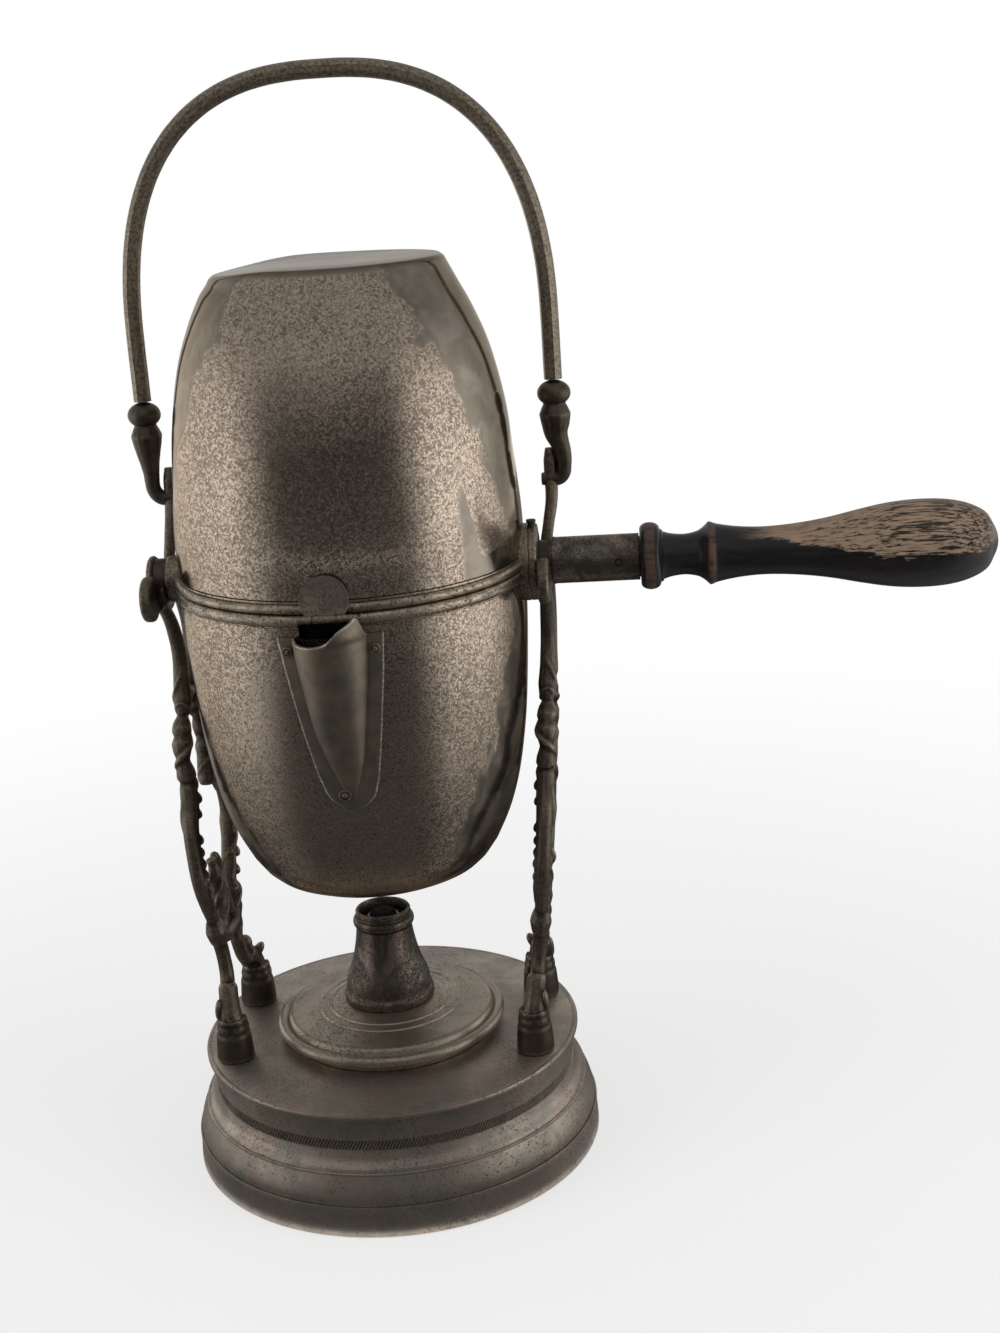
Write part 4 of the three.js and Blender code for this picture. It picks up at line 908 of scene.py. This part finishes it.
# heights are from the seam; the tongue's and the channel's edges are (height, X)
spout = {
    "sheet": 1,
    "low": -73.2,
    "tongueLeft": [(-73.2, 0), (-71.8, -1.6), (-69.8, -4.4), (-67, -6.5), (-58.4, -9.1), (-41.9, -12.7),
                   (-27.5, -15.4), (-8, -18.6)],
    "tongueRight": [(-73.2, 3.4), (-72.4, 6), (-70.8, 8.6), (-68, 10.8), (-61.3, 12.6), (-50, 14.2),
                    (-37.3, 15.7), (-19.8, 17.7), (-7.4, 18.5)],
    "channelLeft": [(-66, 0.4), (-63, -0.6), (-53.7, -4.2), (-41.6, -7.8), (-23.7, -10.4), (-14, -11.7),
                    (-3, -12.4)],
    "channelRight": [(-66, 3.8), (-63, 4.8), (-54.3, 7.2), (-42.3, 8.9), (-24.7, 11), (-15.3, 11.9),
                     (-3, 12.4)],
    "reach": [(-66, 0.2), (-62, 1.2), (-42, 6.2), (-24, 10.2), (-8, 13.6), (-4, 12.9), (2, 12.9)],
    # the lip's height at angles across the channel, from its left foot to its right one
    "lip": [(-90, -8), (-76, -7.4), (-60, -8.2), (-30, -8.3), (-8, -7.6), (4, -6.5), (14, -4.4), (24, -2.7),
            (34, -1.6), (43, -0.8), (49, 0.1), (54, 0.8), (58, 0.5), (63, -1.2), (69, -3.6), (78, -6.2),
            (90, -7.6)],
    "flat": [0, 0.05, 0.1, 0.3, 0.6, 0.9, 1],       # columns across each side of the tongue
    "arc": 40,                                      # columns round the channel
    "rows": 72,
}


def makeSpout():
    flats, arc, rows = spout["flat"], spout["arc"], spout["rows"]
    flat = len(flats) - 1
    columns = 2 * flat + arc + 1

    def along(name, height):
        return float(np.interp(height, *zip(*spout[name])))

    def skin(height):
        wall = radiusAt(serverRun, seam + min(height, -5.5)) + 0.2
        return between(wall, 66.9, eased(-8, -5.4, height))

    def topAt(column):
        across = (column - flat) / arc * 180 - 90
        if abs(across) > 90:
            return spout["lip"][0 if across < 0 else -1][1]
        return along("lip", across)

    def placeOf(column, row):
        height = between(spout["low"] + 0.05, topAt(column), (row / rows) ** 0.85)
        left, right = along("channelLeft", height), along("channelRight", height)
        across = (column - flat) / arc * 2 - 1
        out = 0
        if abs(across) <= 1:
            turn = across * math.pi / 2
            x = between(left, right, (math.sin(turn) + 1) / 2)
            out = along("reach", height) * max(math.cos(turn), 0) ** 0.85
        elif across < 0:
            x = between(along("tongueLeft", height), left, flats[column])
        else:
            x = between(along("tongueRight", height), right, flats[columns - 1 - column])
        radius = skin(height)
        return Vector((x, -math.sqrt(max(radius ** 2 - x ** 2, 0)) - out, seam + height))

    nothingSelected()
    bpy.ops.mesh.primitive_grid_add(x_subdivisions=columns - 1, y_subdivisions=rows, size=mm)
    sheet = bpy.context.object
    sheet.name = "spout"
    # the sheet's edges, lip and folds are marked for the near-white rubbed colour: painted highlight lines
    # along them
    rubbed = []
    for index, vertex in enumerate(sheet.data.vertices):
        column, row = index % columns, index // columns
        vertex.co = placeOf(column, row) * mm
        onEdge = column in (0, 1, columns - 2, columns - 1)
        onLip = row == rows and abs((column - flat) / arc * 2 - 1) < 1
        onFold = column in (flat, columns - 1 - flat)
        rubbed.append(1.0 if onEdge else 0.6 if onLip else 0.4 if onFold and row > 8 else 0.0)
    layer = sheet.data.attributes.new("wear", "FLOAT", "POINT")
    layer.data.foreach_set("value", rubbed)
    mergeAndFaceOut(sheet)
    if sheet.data.polygons[len(sheet.data.polygons) // 2].normal.y > 0:
        sheet.data.flip_normals()
    modify(sheet, "SOLIDIFY", thickness=spout["sheet"] * mm, offset=1)
    modify(sheet, "BEVEL", width=0.16 * mm, segments=2, limit_method="ANGLE", angle_limit=math.radians(50))
    complete(sheet, "server", "plated_metal", spoutPlate, "spout", 50)

    # the channel's inside faces are painted near black: painted shade
    def insideChannel(middle, normal):
        inward = normal.y > 0.15 or abs(normal.y) <= 0.15 and normal.x * (middle.x - 1) < 0
        return inward and abs(middle.x) < 12.3 and middle.z > seam - 50

    paintFaces(sheet, insideShade, insideChannel)


mouth = {"left": -10.8, "right": 9.4, "low": -9, "high": -0.05, "front": -67, "deep": 12, "corner": 2}


# Behind the lip the lower bead and the wall are cut away, so the pot pours.
def cutMouth():
    middle = Vector((mouth["left"] + mouth["right"], 2 * mouth["front"], mouth["low"] + mouth["high"])) / 2
    for name in ("serverRim", "serverShell"):
        nothingSelected()
        bpy.ops.mesh.primitive_cube_add(size=mm, location=(middle + Vector((0, 0, seam))) * mm)
        cutter = bpy.context.object
        cutter.scale = (mouth["right"] - mouth["left"], mouth["deep"], mouth["high"] - mouth["low"])
        applyPlace(cutter)
        modify(cutter, "BEVEL", width=mouth["corner"] * mm, segments=4, limit_method="ANGLE")
        modify(bpy.data.objects[name], "BOOLEAN", object=cutter, operation="DIFFERENCE", solver="EXACT")
        bpy.data.objects.remove(cutter)


rivet = {
    "grow": {"left": 1.2, "right": 1.2, "low": 1.4},
    "crown": [(0, 1.35), (0.6, 1.3), (0.95, 0.9)],
    "brim": [(0.62, 0.62), (0.8, 0.85), (0.93, 0.72), (1, 0.3), (1, 0)],     # shares of its radius
    "proud": 0.35,
}


def makeRivet(place):
    low, high = boxOf("spout_rivet_" + place)
    middle = (low + high) / 2
    radius = (high.x - low.x) / 2 * rivet["grow"][place]
    profile = rivet["crown"] + [(radius * share, height) for share, height in rivet["brim"]] + [(0, 0)]
    piece = turnOnLathe("spoutRivet" + place.title(), profile, 32)
    piece.rotation_euler = (math.radians(90), 0, math.atan2(middle.x, -middle.y))
    back = high.y if place == "low" else middle.y + rivet["proud"]
    piece.location = Vector((middle.x, back, middle.z)) * mm
    applyPlace(piece)
    complete(piece, "server", "cast_metal", castBrass, "spout_rivet_" + place, 40, 2)


knuckle = {
    "bore": 0.75, "shoulder": 1.2, "radius": 1.4, "chamfer": 0.2, "half": 4.1, "gap": 0.15, "leaf": 0.8,
}
flap = {"radius": 8.6, "rise": 6.4, "sheet": 0.9, "lean": 17, "cut": 1.3}


def makeKnuckle(start, end, centre=(0, 0, 0)):
    bore, shoulder, radius, chamfer = (knuckle[name] for name in ("bore", "shoulder", "radius", "chamfer"))
    run = [(bore, start), (shoulder, start), (radius, start + chamfer), (radius, end - chamfer),
           (shoulder, end), (bore, end), (bore, start)]
    return turnOnLathe("knuckle", run, 32, "X", centre)


def makeHingeLeaf():
    high = boxOf("hinge_leaf")[1]
    inner, outer = knuckle["half"] + knuckle["gap"], high.x
    parts = [makeKnuckle(-outer, -inner, hinge), makeKnuckle(inner, outer, hinge)]
    front = hinge.y + 1
    nothingSelected()
    bpy.ops.mesh.primitive_cube_add(size=mm, location=Vector((0, (front + high.y) / 2, seam - 1)) * mm)
    leaf = bpy.context.object
    leaf.scale = (2 * outer - 0.4, abs(front - high.y), knuckle["leaf"])
    applyPlace(leaf)
    modify(leaf, "BEVEL", width=0.25 * mm, segments=3)
    piece = joinAll("hingeLeaf", parts + [leaf])
    complete(piece, "server", "plated_metal", castBrass, "hinge_leaf", 40, 2)


def makeFlap():
    nothingSelected()
    bpy.ops.mesh.primitive_circle_add(vertices=72, radius=flap["radius"] * mm, fill_type="NGON",
                                      location=(0, flap["rise"] * mm, -flap["sheet"] / 2 * mm))
    disc = bpy.context.object
    applyPlace(disc)
    editAll()
    bpy.ops.mesh.extrude_region_move(TRANSFORM_OT_translate={"value": (0, 0, flap["sheet"] * mm)})
    bpy.ops.mesh.select_all(action="SELECT")
    bpy.ops.mesh.bisect(plane_co=(0, flap["cut"] * mm, 0), plane_no=(0, 1, 0),
                        clear_inner=True, use_fill=True)
    bpy.ops.object.mode_set(mode="OBJECT")
    mergeAndFaceOut(disc)
    modify(disc, "BEVEL", width=0.25 * mm, segments=3, limit_method="ANGLE")
    piece = joinAll("spoutFlap", [disc, makeKnuckle(-knuckle["half"], knuckle["half"])])
    piece.rotation_euler = (math.radians(90 - flap["lean"]), 0, 0)
    piece.location = hinge * mm
    applyPlace(piece)
    complete(piece, "flap", "plated_metal", flapPlate, "spout_flap", 40, 2)


makeSpout()
cutMouth()
for place in ("left", "right", "low"):
    makeRivet(place)
makeHingeLeaf()
makeFlap()
print("spout and flap made")


# Side castings

foot = {
    "x": 59.2, "spread": 24.8, "top": 64,
    # (radius, height from its foot), and from its top
    "socket": [(7.1, 0), (7.35, 0.4), (7.1, 5), (6.7, 9.8), (6.3, 10.9), (5.9, 12), (5.6, 13.6)],
    "socketTop": [(5.2, -0.3), (4.2, 0), (0, 0)],
    "petals": 5,
    "petalRows": [(4.7, 12.4, (1.7, 3, 2.9)), (4.9, 15.2, (1, 2, 2.1))],     # out, height, size
}
casting = {
    "fork": 72.6, "inset": 1.6, "bend": 0.69, "grain": 0.43,
    "eye": {"left": 71.6, "right": 75.4},
    "seat": 10.4, "seatThick": 2.2,
    "spigot": [(0, 55.3), (3.2, 55.3), (3.2, 66), (0, 66)],
    # (radius, out) and its place: back and height from the pivot
    "button": [(0, -2.3), (7.1, -2.3), (8.2, -1.8), (8.5, -0.8), (8.5, 0.8), (8.2, 1.6), (7.4, 2.1),
               (0, 2.8)],
    "buttonOut": {"left": 1.7, "right": 0.05}, "buttonBack": -17.5, "buttonHeight": -3.5,
    # (back, height from the pivot, radius), and from the eye
    "post": [(9.6, -5, 2.3), (11.4, 3, 2.3), (13.6, 11, 2.2), (17.6, 20, 2.4)],
    "eyeEnd": [(21, 0, 2.6), (22.4, 7, 2.6), (22.8, 11.6, 1.8)],
}


def castingX(height, side):
    drop = (seam - height) / (seam - base["height"])
    if drop > 0:
        return between(casting["fork"], foot["x"] - casting["inset"],
                       between(drop, drop * drop, casting["bend"]))
    return between(casting["fork"], casting["eye"][side], eased(4, 19, height - seam))


# (back, height over the foot sockets, radius)
strands = {
    "front": [(-9.5, 163.5, 2.3), (-2.4, 158.4, 2.5), (4, 149, 2.8), (5.9, 139, 2.9), (2.6, 130, 3.1),
              (0.4, 123.5, 3.7), (-1.8, 120, 3.3), (-3.6, 117.8, 2.2), (-6.6, 115.4, 3.5), (-8.8, 113.4, 3.9),
              (-10.4, 111.5, 2.9), (-11.8, 109.2, 4), (-12.8, 106.6, 3.6), (-13.4, 103, 2.5),
              (-13.4, 98.6, 3.7), (-13.3, 96.4, 3.9), (-13.2, 94.6, 3), (-14, 91.6, 3.5),
              (-16.4, 85.5, 3.6), (-21, 78.5, 3.2), (-24.1, 68, 3), (-24.7, 56, 2.9), (-21.4, 46, 2.7),
              (-17.6, 38.6, 2.6), (-16.8, 36, 3.7), (-16.6, 33, 4.3), (-16.2, 29.6, 3.6), (-15.4, 27.4, 2.9),
              (-14.8, 21, 2.8), (-16.2, 13.6, 2.9), (-19.6, 9.6, 3), (-22, 6, 3), (-24, 2, 3), (-24.8, -1, 3)],
    "rear": [(10.2, 167.5, 2.3), (15, 164.5, 2.4), (23, 155, 2.6), (26.2, 143, 2.8), (20.6, 131, 3.1),
             (15, 124.6, 3.6), (14.4, 121.4, 2.7), (16.4, 117.4, 3.6), (18, 114, 3.5), (19.6, 110.6, 2.6),
             (21, 106.6, 3.8), (22.4, 102.6, 3.7), (24.4, 97, 2.8), (27, 89, 2.7), (31.4, 81, 2.7),
             (35, 73.5, 2.8), (35.2, 65, 2.9), (32.6, 60.6, 3.4), (29, 55, 3), (24.4, 49.6, 3.1),
             (19.8, 44, 3.2), (18, 40.6, 2.7), (17.4, 37, 3.6), (16.4, 33.6, 2.9), (15, 30.4, 3.7),
             (13, 27, 3), (11, 24.4, 3.4), (9, 20, 2.8), (9.6, 15.4, 2.8), (13.5, 8, 2.9), (19, 5.4, 3.4),
             (22.8, 3, 3.6), (24.8, -1, 3.6)],
    "legBridge": [(-15, 32, 3), (-8, 27.4, 3), (0, 26, 2.8), (8, 26, 3.1), (14, 29, 3)],
    "waistBridge": [(-4, 120.6, 2.8), (2, 121.6, 2.6), (7, 123.6, 3), (15, 123, 2.8)],
    "bud": [(-8, 27.5, 2.2), (-5.6, 33, 2.6), (-2.4, 39, 3.5), (-0.8, 45, 3.6), (-1.4, 51, 2.7),
            (-2.4, 55.4, 1.7), (-2.8, 58, 2.1)],
    "tendril": [(10, 26, 2), (8.4, 34, 2.2), (7.2, 42, 2), (7.6, 50, 1.6), (5.4, 55.6, 1.5),
                (2.4, 57.4, 1.8)],
    "drop": [(22, 106, 3), (21, 100.6, 3), (20, 97.6, 3.9), (18.6, 94.4, 3.4), (16.4, 90, 3.6),
             (13.4, 85.6, 3.3), (12.4, 83.8, 2.4)],
}
# smooth sleeves that lean from the sockets to the legs
sleeves = {
    "frontSleeve": [(-24.6, -1.6, 4.7), (-24, 1, 4.5), (-22.8, 4, 4.1), (-20.9, 7.6, 3.9), (-19.3, 10.2, 3.9),
                    (-18.6, 11.2, 3.5)],
    "rearSleeve": [(24.6, -1.6, 4.7), (24.2, 1, 4.6), (22.4, 4, 4.4), (19.4, 6.6, 4), (16.6, 8.6, 3.5)],
}
# thin stems that wind round a strand: from, to, turns, thickness, start
vines = [
    ("front", 117, 91, 1.5, 1.3, 0.4), ("front", 88, 42, 0.7, 1.15, 5.6), ("front", 84, 50, 0.5, 0.8, 0.9),
    ("rear", 122, 96, 1.6, 1.3, 2.6), ("rear", 92, 62, 0.8, 1.1, 3.6), ("rear", 62, 24, 1.9, 1.35, 0.8),
    ("front", 134, 122, 0.3, 0.9, 4.4), ("bud", 55, 32, 0.6, 0.8, 0.5), ("bud", 55, 32, 0.6, 0.8, 2.6),
    ("bud", 55, 32, 0.6, 0.8, 4.7), ("drop", 104, 86, 0.8, 1, 1.2),
]
# small leaf tips on the strands' inner side: strand, height, size
leafTips = [
    ("front", 88, 1.7), ("front", 82.6, 1.5), ("front", 73.6, 1.6), ("front", 69, 1.5), ("front", 64.4, 1.5),
    ("front", 60, 1.6), ("front", 54.6, 1.5), ("rear", 88, 1.6), ("rear", 70, 1.5), ("rear", 50, 1.9),
    ("rear", 44, 1.7), ("rear", 113, 1.6),
]
# leaves folded against the sleeves: back, height, out, size, lean
leaves = [(-24.8, 3.4, 4, (1.3, 2.2, 4.4), -6), (24.8, 3.4, 4, (1.3, 2.2, 4.4), -6),
          (20.6, 11, 0.4, (2.9, 3.2, 3.6), 0), (23.6, 6.4, -3.4, (2, 3, 4), -34)]


def makeCasting(side, across):
    def onPlane(back, up, out=0):
        height = foot["top"] + up
        return (across * (castingX(height, side) + out), back, height)

    def rodOnPlane(name, stations, out=0, finish=5, spans=8):
        places = [(onPlane(back, up, out), radius) for back, up, radius in stations]
        return drawRod(name, places, finish, spans)

    def strandAt(name, up):
        ups, backs, radii = zip(*sorted((up, back, radius) for back, up, radius in strands[name]))
        return float(np.interp(up, ups, backs)), float(np.interp(up, ups, radii))

    def vine(name, high, low, turns, thick, start):
        steps = max(5, round(turns * 8))
        winding = []
        for i in range(steps + 1):
            up = between(high, low, i / steps)
            back, radius = strandAt(name, up)
            turn = start + tau * turns * i / steps
            size = thick * (0.55 if i in (0, steps) else 1)
            place = onPlane(back + radius * 0.9 * math.sin(turn), up, radius * 0.9 * math.cos(turn))
            winding.append((place, size))
        return drawRod("vine", winding, 3, 3)

    parts = [rodOnPlane(name, stations, 0, 5, 6) for name, stations in strands.items()]
    parts += [vine(*shape) for shape in vines]
    for name, up, size in leafTips:
        back, radius = strandAt(name, up)
        for out, aside in ((-0.8, 0.4), (0.3, 0.9)):
            place = onPlane(back + radius * aside, up, radius * out)
            parts.append(drawLump(place, (size, size, size * 1.5), (0, across * 24, 0)))
    pivot, rise = seam - foot["top"], eyeLine.z - foot["top"]
    seat = []
    for i in range(13):
        turn = math.radians(between(-172, -8, i / 12))
        seat.append((casting["seat"] * math.cos(turn), pivot + casting["seat"] * math.sin(turn),
                     casting["seatThick"]))
    parts.append(rodOnPlane("seat", seat))
    post = [(back, pivot + up, radius) for back, up, radius in casting["post"]]
    post += [(back, rise + up, radius) for back, up, radius in casting["eyeEnd"]]
    parts.append(rodOnPlane("post", post))
    parts += [rodOnPlane(name, stations, -0.2, 4, 6) for name, stations in sleeves.items()]
    for back, up, out, size, lean in leaves:
        parts.append(drawLump(onPlane(back, up, out), size, (0, across * lean, 0)))
    middle = casting["fork"] + casting["buttonOut"][side]
    button = [(radius, across * (middle + out)) for radius, out in casting["button"]]
    place = (0, casting["buttonBack"], seam + casting["buttonHeight"])
    parts.append(turnOnLathe("button", button, 48, "X", place))
    for back in (-foot["spread"], foot["spread"]):
        parts.append(turnOnLathe("spigot", casting["spigot"], 24, "Z", (across * foot["x"], back, 0)))
    whole = fuse("sideFrame" + side.title(), parts, casting["grain"], 2)
    complete(whole, "stand", "cast_metal", castBrass, "side_frame_" + side, 60, 3)
    return len(whole.data.polygons)


def makeFoot(end, side):
    low, high = boxOf(f"foot_{end}_{side}")
    x, y, _ = (low + high) / 2
    socket = [(0, low.z)] + shifted(low.z, foot["socket"]) + shifted(high.z, foot["socketTop"])
    parts = [turnOnLathe("socket", socket, 48, "Z", (x, y, 0))]
    for k in range(foot["petals"]):
        turn = tau * (k + 0.3) / foot["petals"]
        for out, rise, size in foot["petalRows"]:
            place = (x + out * math.cos(turn), y + out * math.sin(turn), low.z + rise)
            parts.append(drawLump(place, size, (0, 0, math.degrees(turn))))
    piece = fuse(f"foot{end.title()}{side.title()}", parts, 0.35, 2)
    complete(piece, "stand", "cast_metal", castBrass, f"foot_{end}_{side}", 60, 2)


for side, across in (("left", -1), ("right", 1)):
    faces = makeCasting(side, across)
    for end in ("front", "rear"):
        makeFoot(end, side)
print("castings poured, faces in a side frame:", faces)


# Bail

bail = {
    "half": 78.3, "rise": 154, "shoulder": 58, "square": 2.5, "rod": 3.4, "arch": 28,
    "ballRise": 32.5, "ball": (6.35, 4.9),
}
hook = {
    "stem": {"left": -0.2, "right": 2.3},       # how far out of the ball's axis it comes down
    "shank": [(1, 4.2), (-1, 5.2), (-3, 6), (-6, 5.5), (-10, 4.6)],     # (height from under the ball, radius)
    "elbow": (-14, 3.7), "straight": (-18, 3.1), "curl": 2.85, "cheek": 2,
    "inner": [(0, 2.8), (-3.6, 2.4)],           # (in past the eye, radius)
}


def makeBail():
    half, shoulder, arch = bail["half"], bail["shoulder"], bail["arch"]
    legLow = bail["ballRise"] + bail["ball"][1] + 0.3
    points = [(-half, legLow), (-half, shoulder - 10)]
    for i in range(arch + 1):
        turn = math.pi * i / arch
        across = math.copysign(abs(math.cos(turn)) ** (2 / bail["square"]), math.cos(turn))
        up = math.sin(turn) ** (2 / bail["square"]) if 0 < i < arch else 0
        points.append((-half * across, shoulder + (bail["rise"] - shoulder) * up))
    points += [(half, shoulder - 10), (half, legLow)]
    rod = drawRod("bailRod", [((x, eyeLine.y, eyeLine.z + z), bail["rod"]) for x, z in points], 3, 10)
    complete(rod, "bail", "cast_metal", castBrass, "bail_rod", 30, 2)


def makeHook(side, across):
    axis, post = bail["half"], casting["eye"][side]
    stem = axis + hook["stem"][side]
    radius, halfHeight = bail["ball"]
    turns = [math.pi * i / 14 for i in range(15)]
    ball = [(radius * math.sin(turn), bail["ballRise"] - halfHeight * math.cos(turn)) for turn in turns]
    ball = turnOnLathe("ball", ball, 48, "Z", (across * axis, eyeLine.y, eyeLine.z))
    low = bail["ballRise"] - halfHeight
    curl = stem - (post + hook["cheek"])
    line = [(axis, low + up, size) for up, size in hook["shank"]]
    line.append((between(axis, stem, 0.5), low + hook["elbow"][0], hook["elbow"][1]))
    line.append((stem, low + hook["straight"][0], hook["straight"][1]))
    for i in range(7):
        turn = math.pi / 2 * i / 6
        out, rise = curl * math.cos(turn), curl * 1.25 * (1 - math.sin(turn))
        line.append((post + hook["cheek"] + out, rise, hook["curl"]))
    line += [(post + inward, 0, size) for inward, size in hook["inner"]]
    rod = drawRod("hook", [((across * x, eyeLine.y, eyeLine.z + z), size) for x, z, size in line], 6, 6)
    piece = fuse("bailHook" + side.title(), [ball, rod], 0.35, 2)
    complete(piece, "bail", "cast_metal", castBrass, "bail_hook_" + side, 60, 2)


makeBail()
makeHook("left", -1)
makeHook("right", 1)
print("bail bent")


# What stays as packed is tinned, but for these

keptFinishes = {
    "wick": wickCotton, "collar_screw": castBrass, "ferrule_pin": castBrass, "hinge_pin": castBrass,
}
for node, piece in frame["nodes"].items():
    if piece.hide_render:
        continue
    piece.data.materials.clear()
    piece.data.materials.append(keptFinishes.get(node, innerTin))


# Floor, light, and what the metal mirrors

# metres here
studio = {
    "floor": (0.86, 0.86, 0.86), "floorRadius": 6,
    "shadow": (0.15, 0.75, 0.62, 1),        # the floor's own paint fades to plain white over this distance
    "worldLight": 0.55,
    "lamps": {"lampLeft": -62, "lampRight": 70}, "lampPower": 9, "lampSize": (1.1, 1.5),
    "lampSlope": 0.55, "lampDistance": 1.7, "lampHeight": 0.2,
    "tentRadius": 1.9,
    "dark": 0.018,          # in front of the pot, round the camera
    "overhead": 0.34,
    "behind": 0.54,
    # where each side's bright cloth begins, peaks and ends, in degrees from the front
    "left": {"from": 38, "full": 80, "fade": 138, "end": 165, "bright": 1},
    "right": {"from": 37, "full": 68, "fade": 92, "end": 130, "bright": 1.24},
    "lean": 4.7,
    "table": {"inner": 0.0825, "outer": 1.6, "near": 0.14, "far": 0.88, "behind": 0.26, "least": 0.05},
}
plainWhite = (1, 1, 1, 1)


def seenOrMirrored(tree):
    path = addNode(tree, "ShaderNodeLightPath").outputs
    seen = larger(tree, path["Is Camera Ray"], path["Is Glossy Ray"])
    return larger(tree, seen, path["Is Transmission Ray"])


def distanceOut(tree):
    return addNode(tree, "ShaderNodeVectorMath", {0: objectPlace(tree)}, operation="LENGTH").outputs["Value"]


def glow(tree, tone):
    return addNode(tree, "ShaderNodeEmission", {"Color": plainWhite, "Strength": tone}).outputs[0]


def makeFloor():
    nothingSelected()
    bpy.ops.mesh.primitive_circle_add(vertices=96, radius=studio["floorRadius"], fill_type="NGON",
                                      location=(0, 0, -0.0002))
    floor = bpy.context.object
    floor.name = "floor"
    finish, tree = startFinish("paleFloor")
    paint = addNode(tree, "ShaderNodeBsdfDiffuse", {"Color": (*studio["floor"], 1)}).outputs[0]
    share = times(tree, seenOrMirrored(tree), spreadOver(tree, distanceOut(tree), *studio["shadow"]))
    endWith(tree, addNode(tree, "ShaderNodeMixShader", {0: share, 1: paint, 2: glow(tree, 1.0)}).outputs[0])
    floor.data.materials.append(finish)


def lightWorld():
    world = bpy.context.scene.world or bpy.data.worlds.new("studio")
    bpy.context.scene.world = world
    world.use_nodes = True
    tree = world.node_tree
    tree.nodes.clear()
    shade = spreadOver(tree, seenOrMirrored(tree), 0, 1, studio["worldLight"], 1)
    light = addNode(tree, "ShaderNodeBackground", {"Color": plainWhite, "Strength": shade}).outputs[0]
    endWith(tree, light, "ShaderNodeOutputWorld")


def placeLamp(name, turn):
    turn = math.radians(turn)
    direction = Vector((math.sin(turn), -math.cos(turn), studio["lampSlope"])).normalized()
    place = direction * studio["lampDistance"] + Vector((0, 0, studio["lampHeight"]))
    bpy.ops.object.light_add(type="AREA", location=place)
    lamp = bpy.context.object
    lamp.name = name
    lamp.rotation_mode = "QUATERNION"
    lamp.rotation_quaternion = direction.to_track_quat("Z", "Y")
    lamp.data.shape = "RECTANGLE"
    lamp.data.size, lamp.data.size_y = studio["lampSize"]
    lamp.data.energy = studio["lampPower"]
    lamp.visible_glossy = False


# A tent and a table cloth that only reflections see: dark round the camera, bright at both sides.
def mixTentTone(tree, behind):
    split = splitUp(tree, objectPlace(tree))
    turn = degreesRound(tree, split, studio["lean"])
    tone = studio["dark"]
    for side, sign in (("left", -1), ("right", 1)):
        cloth = studio[side]
        angle = times(tree, turn, sign)
        rising = spreadOver(tree, angle, cloth["from"], cloth["full"])
        tone = timesPlus(tree, rising, cloth["bright"] - studio["dark"], tone)
        past = times(tree, spreadOver(tree, angle, cloth["fade"], cloth["end"]), rising)
        tone = timesPlus(tree, past, behind - cloth["bright"], tone)
    return tone, split[2]


def onlyMirrored(card, finish, tree, tone):
    endWith(tree, glow(tree, tone))
    card.data.materials.append(finish)
    card.visible_camera = False
    card.visible_diffuse = False
    card.visible_shadow = False
    card.visible_transmission = False


def makeTent():
    nothingSelected()
    bpy.ops.mesh.primitive_uv_sphere_add(segments=64, ring_count=32, radius=studio["tentRadius"])
    tent = bpy.context.object
    tent.name = "reflectionTent"
    finish, tree = startFinish("tentCloth")
    tone, rise = mixTentTone(tree, studio["behind"])
    over = spreadOver(tree, calculate(tree, "DIVIDE", rise, studio["tentRadius"]), 0.1, 0.72)
    tone = timesPlus(tree, over, minus(tree, studio["overhead"], tone), tone)
    onlyMirrored(tent, finish, tree, tone)


def makeTable():
    cloth = studio["table"]
    nothingSelected()
    bpy.ops.mesh.primitive_circle_add(vertices=96, radius=cloth["outer"], location=(0, 0, 0.001))
    table = bpy.context.object
    table.name = "reflectionTable"
    editAll()
    bpy.ops.mesh.extrude_edges_move(TRANSFORM_OT_translate={"value": (0, 0, 0)})
    shrink = cloth["inner"] / cloth["outer"]
    bpy.ops.transform.resize(value=(shrink, shrink, 1))
    bpy.ops.object.mode_set(mode="OBJECT")
    finish, tree = startFinish("tableCloth")
    tone, _ = mixTentTone(tree, cloth["behind"])
    tone = times(tree, tone, spreadOver(tree, distanceOut(tree), 0.12, 0.85, cloth["near"], cloth["far"]))
    onlyMirrored(table, finish, tree, larger(tree, tone, cloth["least"]))


makeFloor()
lightWorld()
for name, turn in studio["lamps"].items():
    placeLamp(name, turn)
makeTent()
makeTable()
bpy.context.scene.view_settings.view_transform = "Standard"
print("stage set")
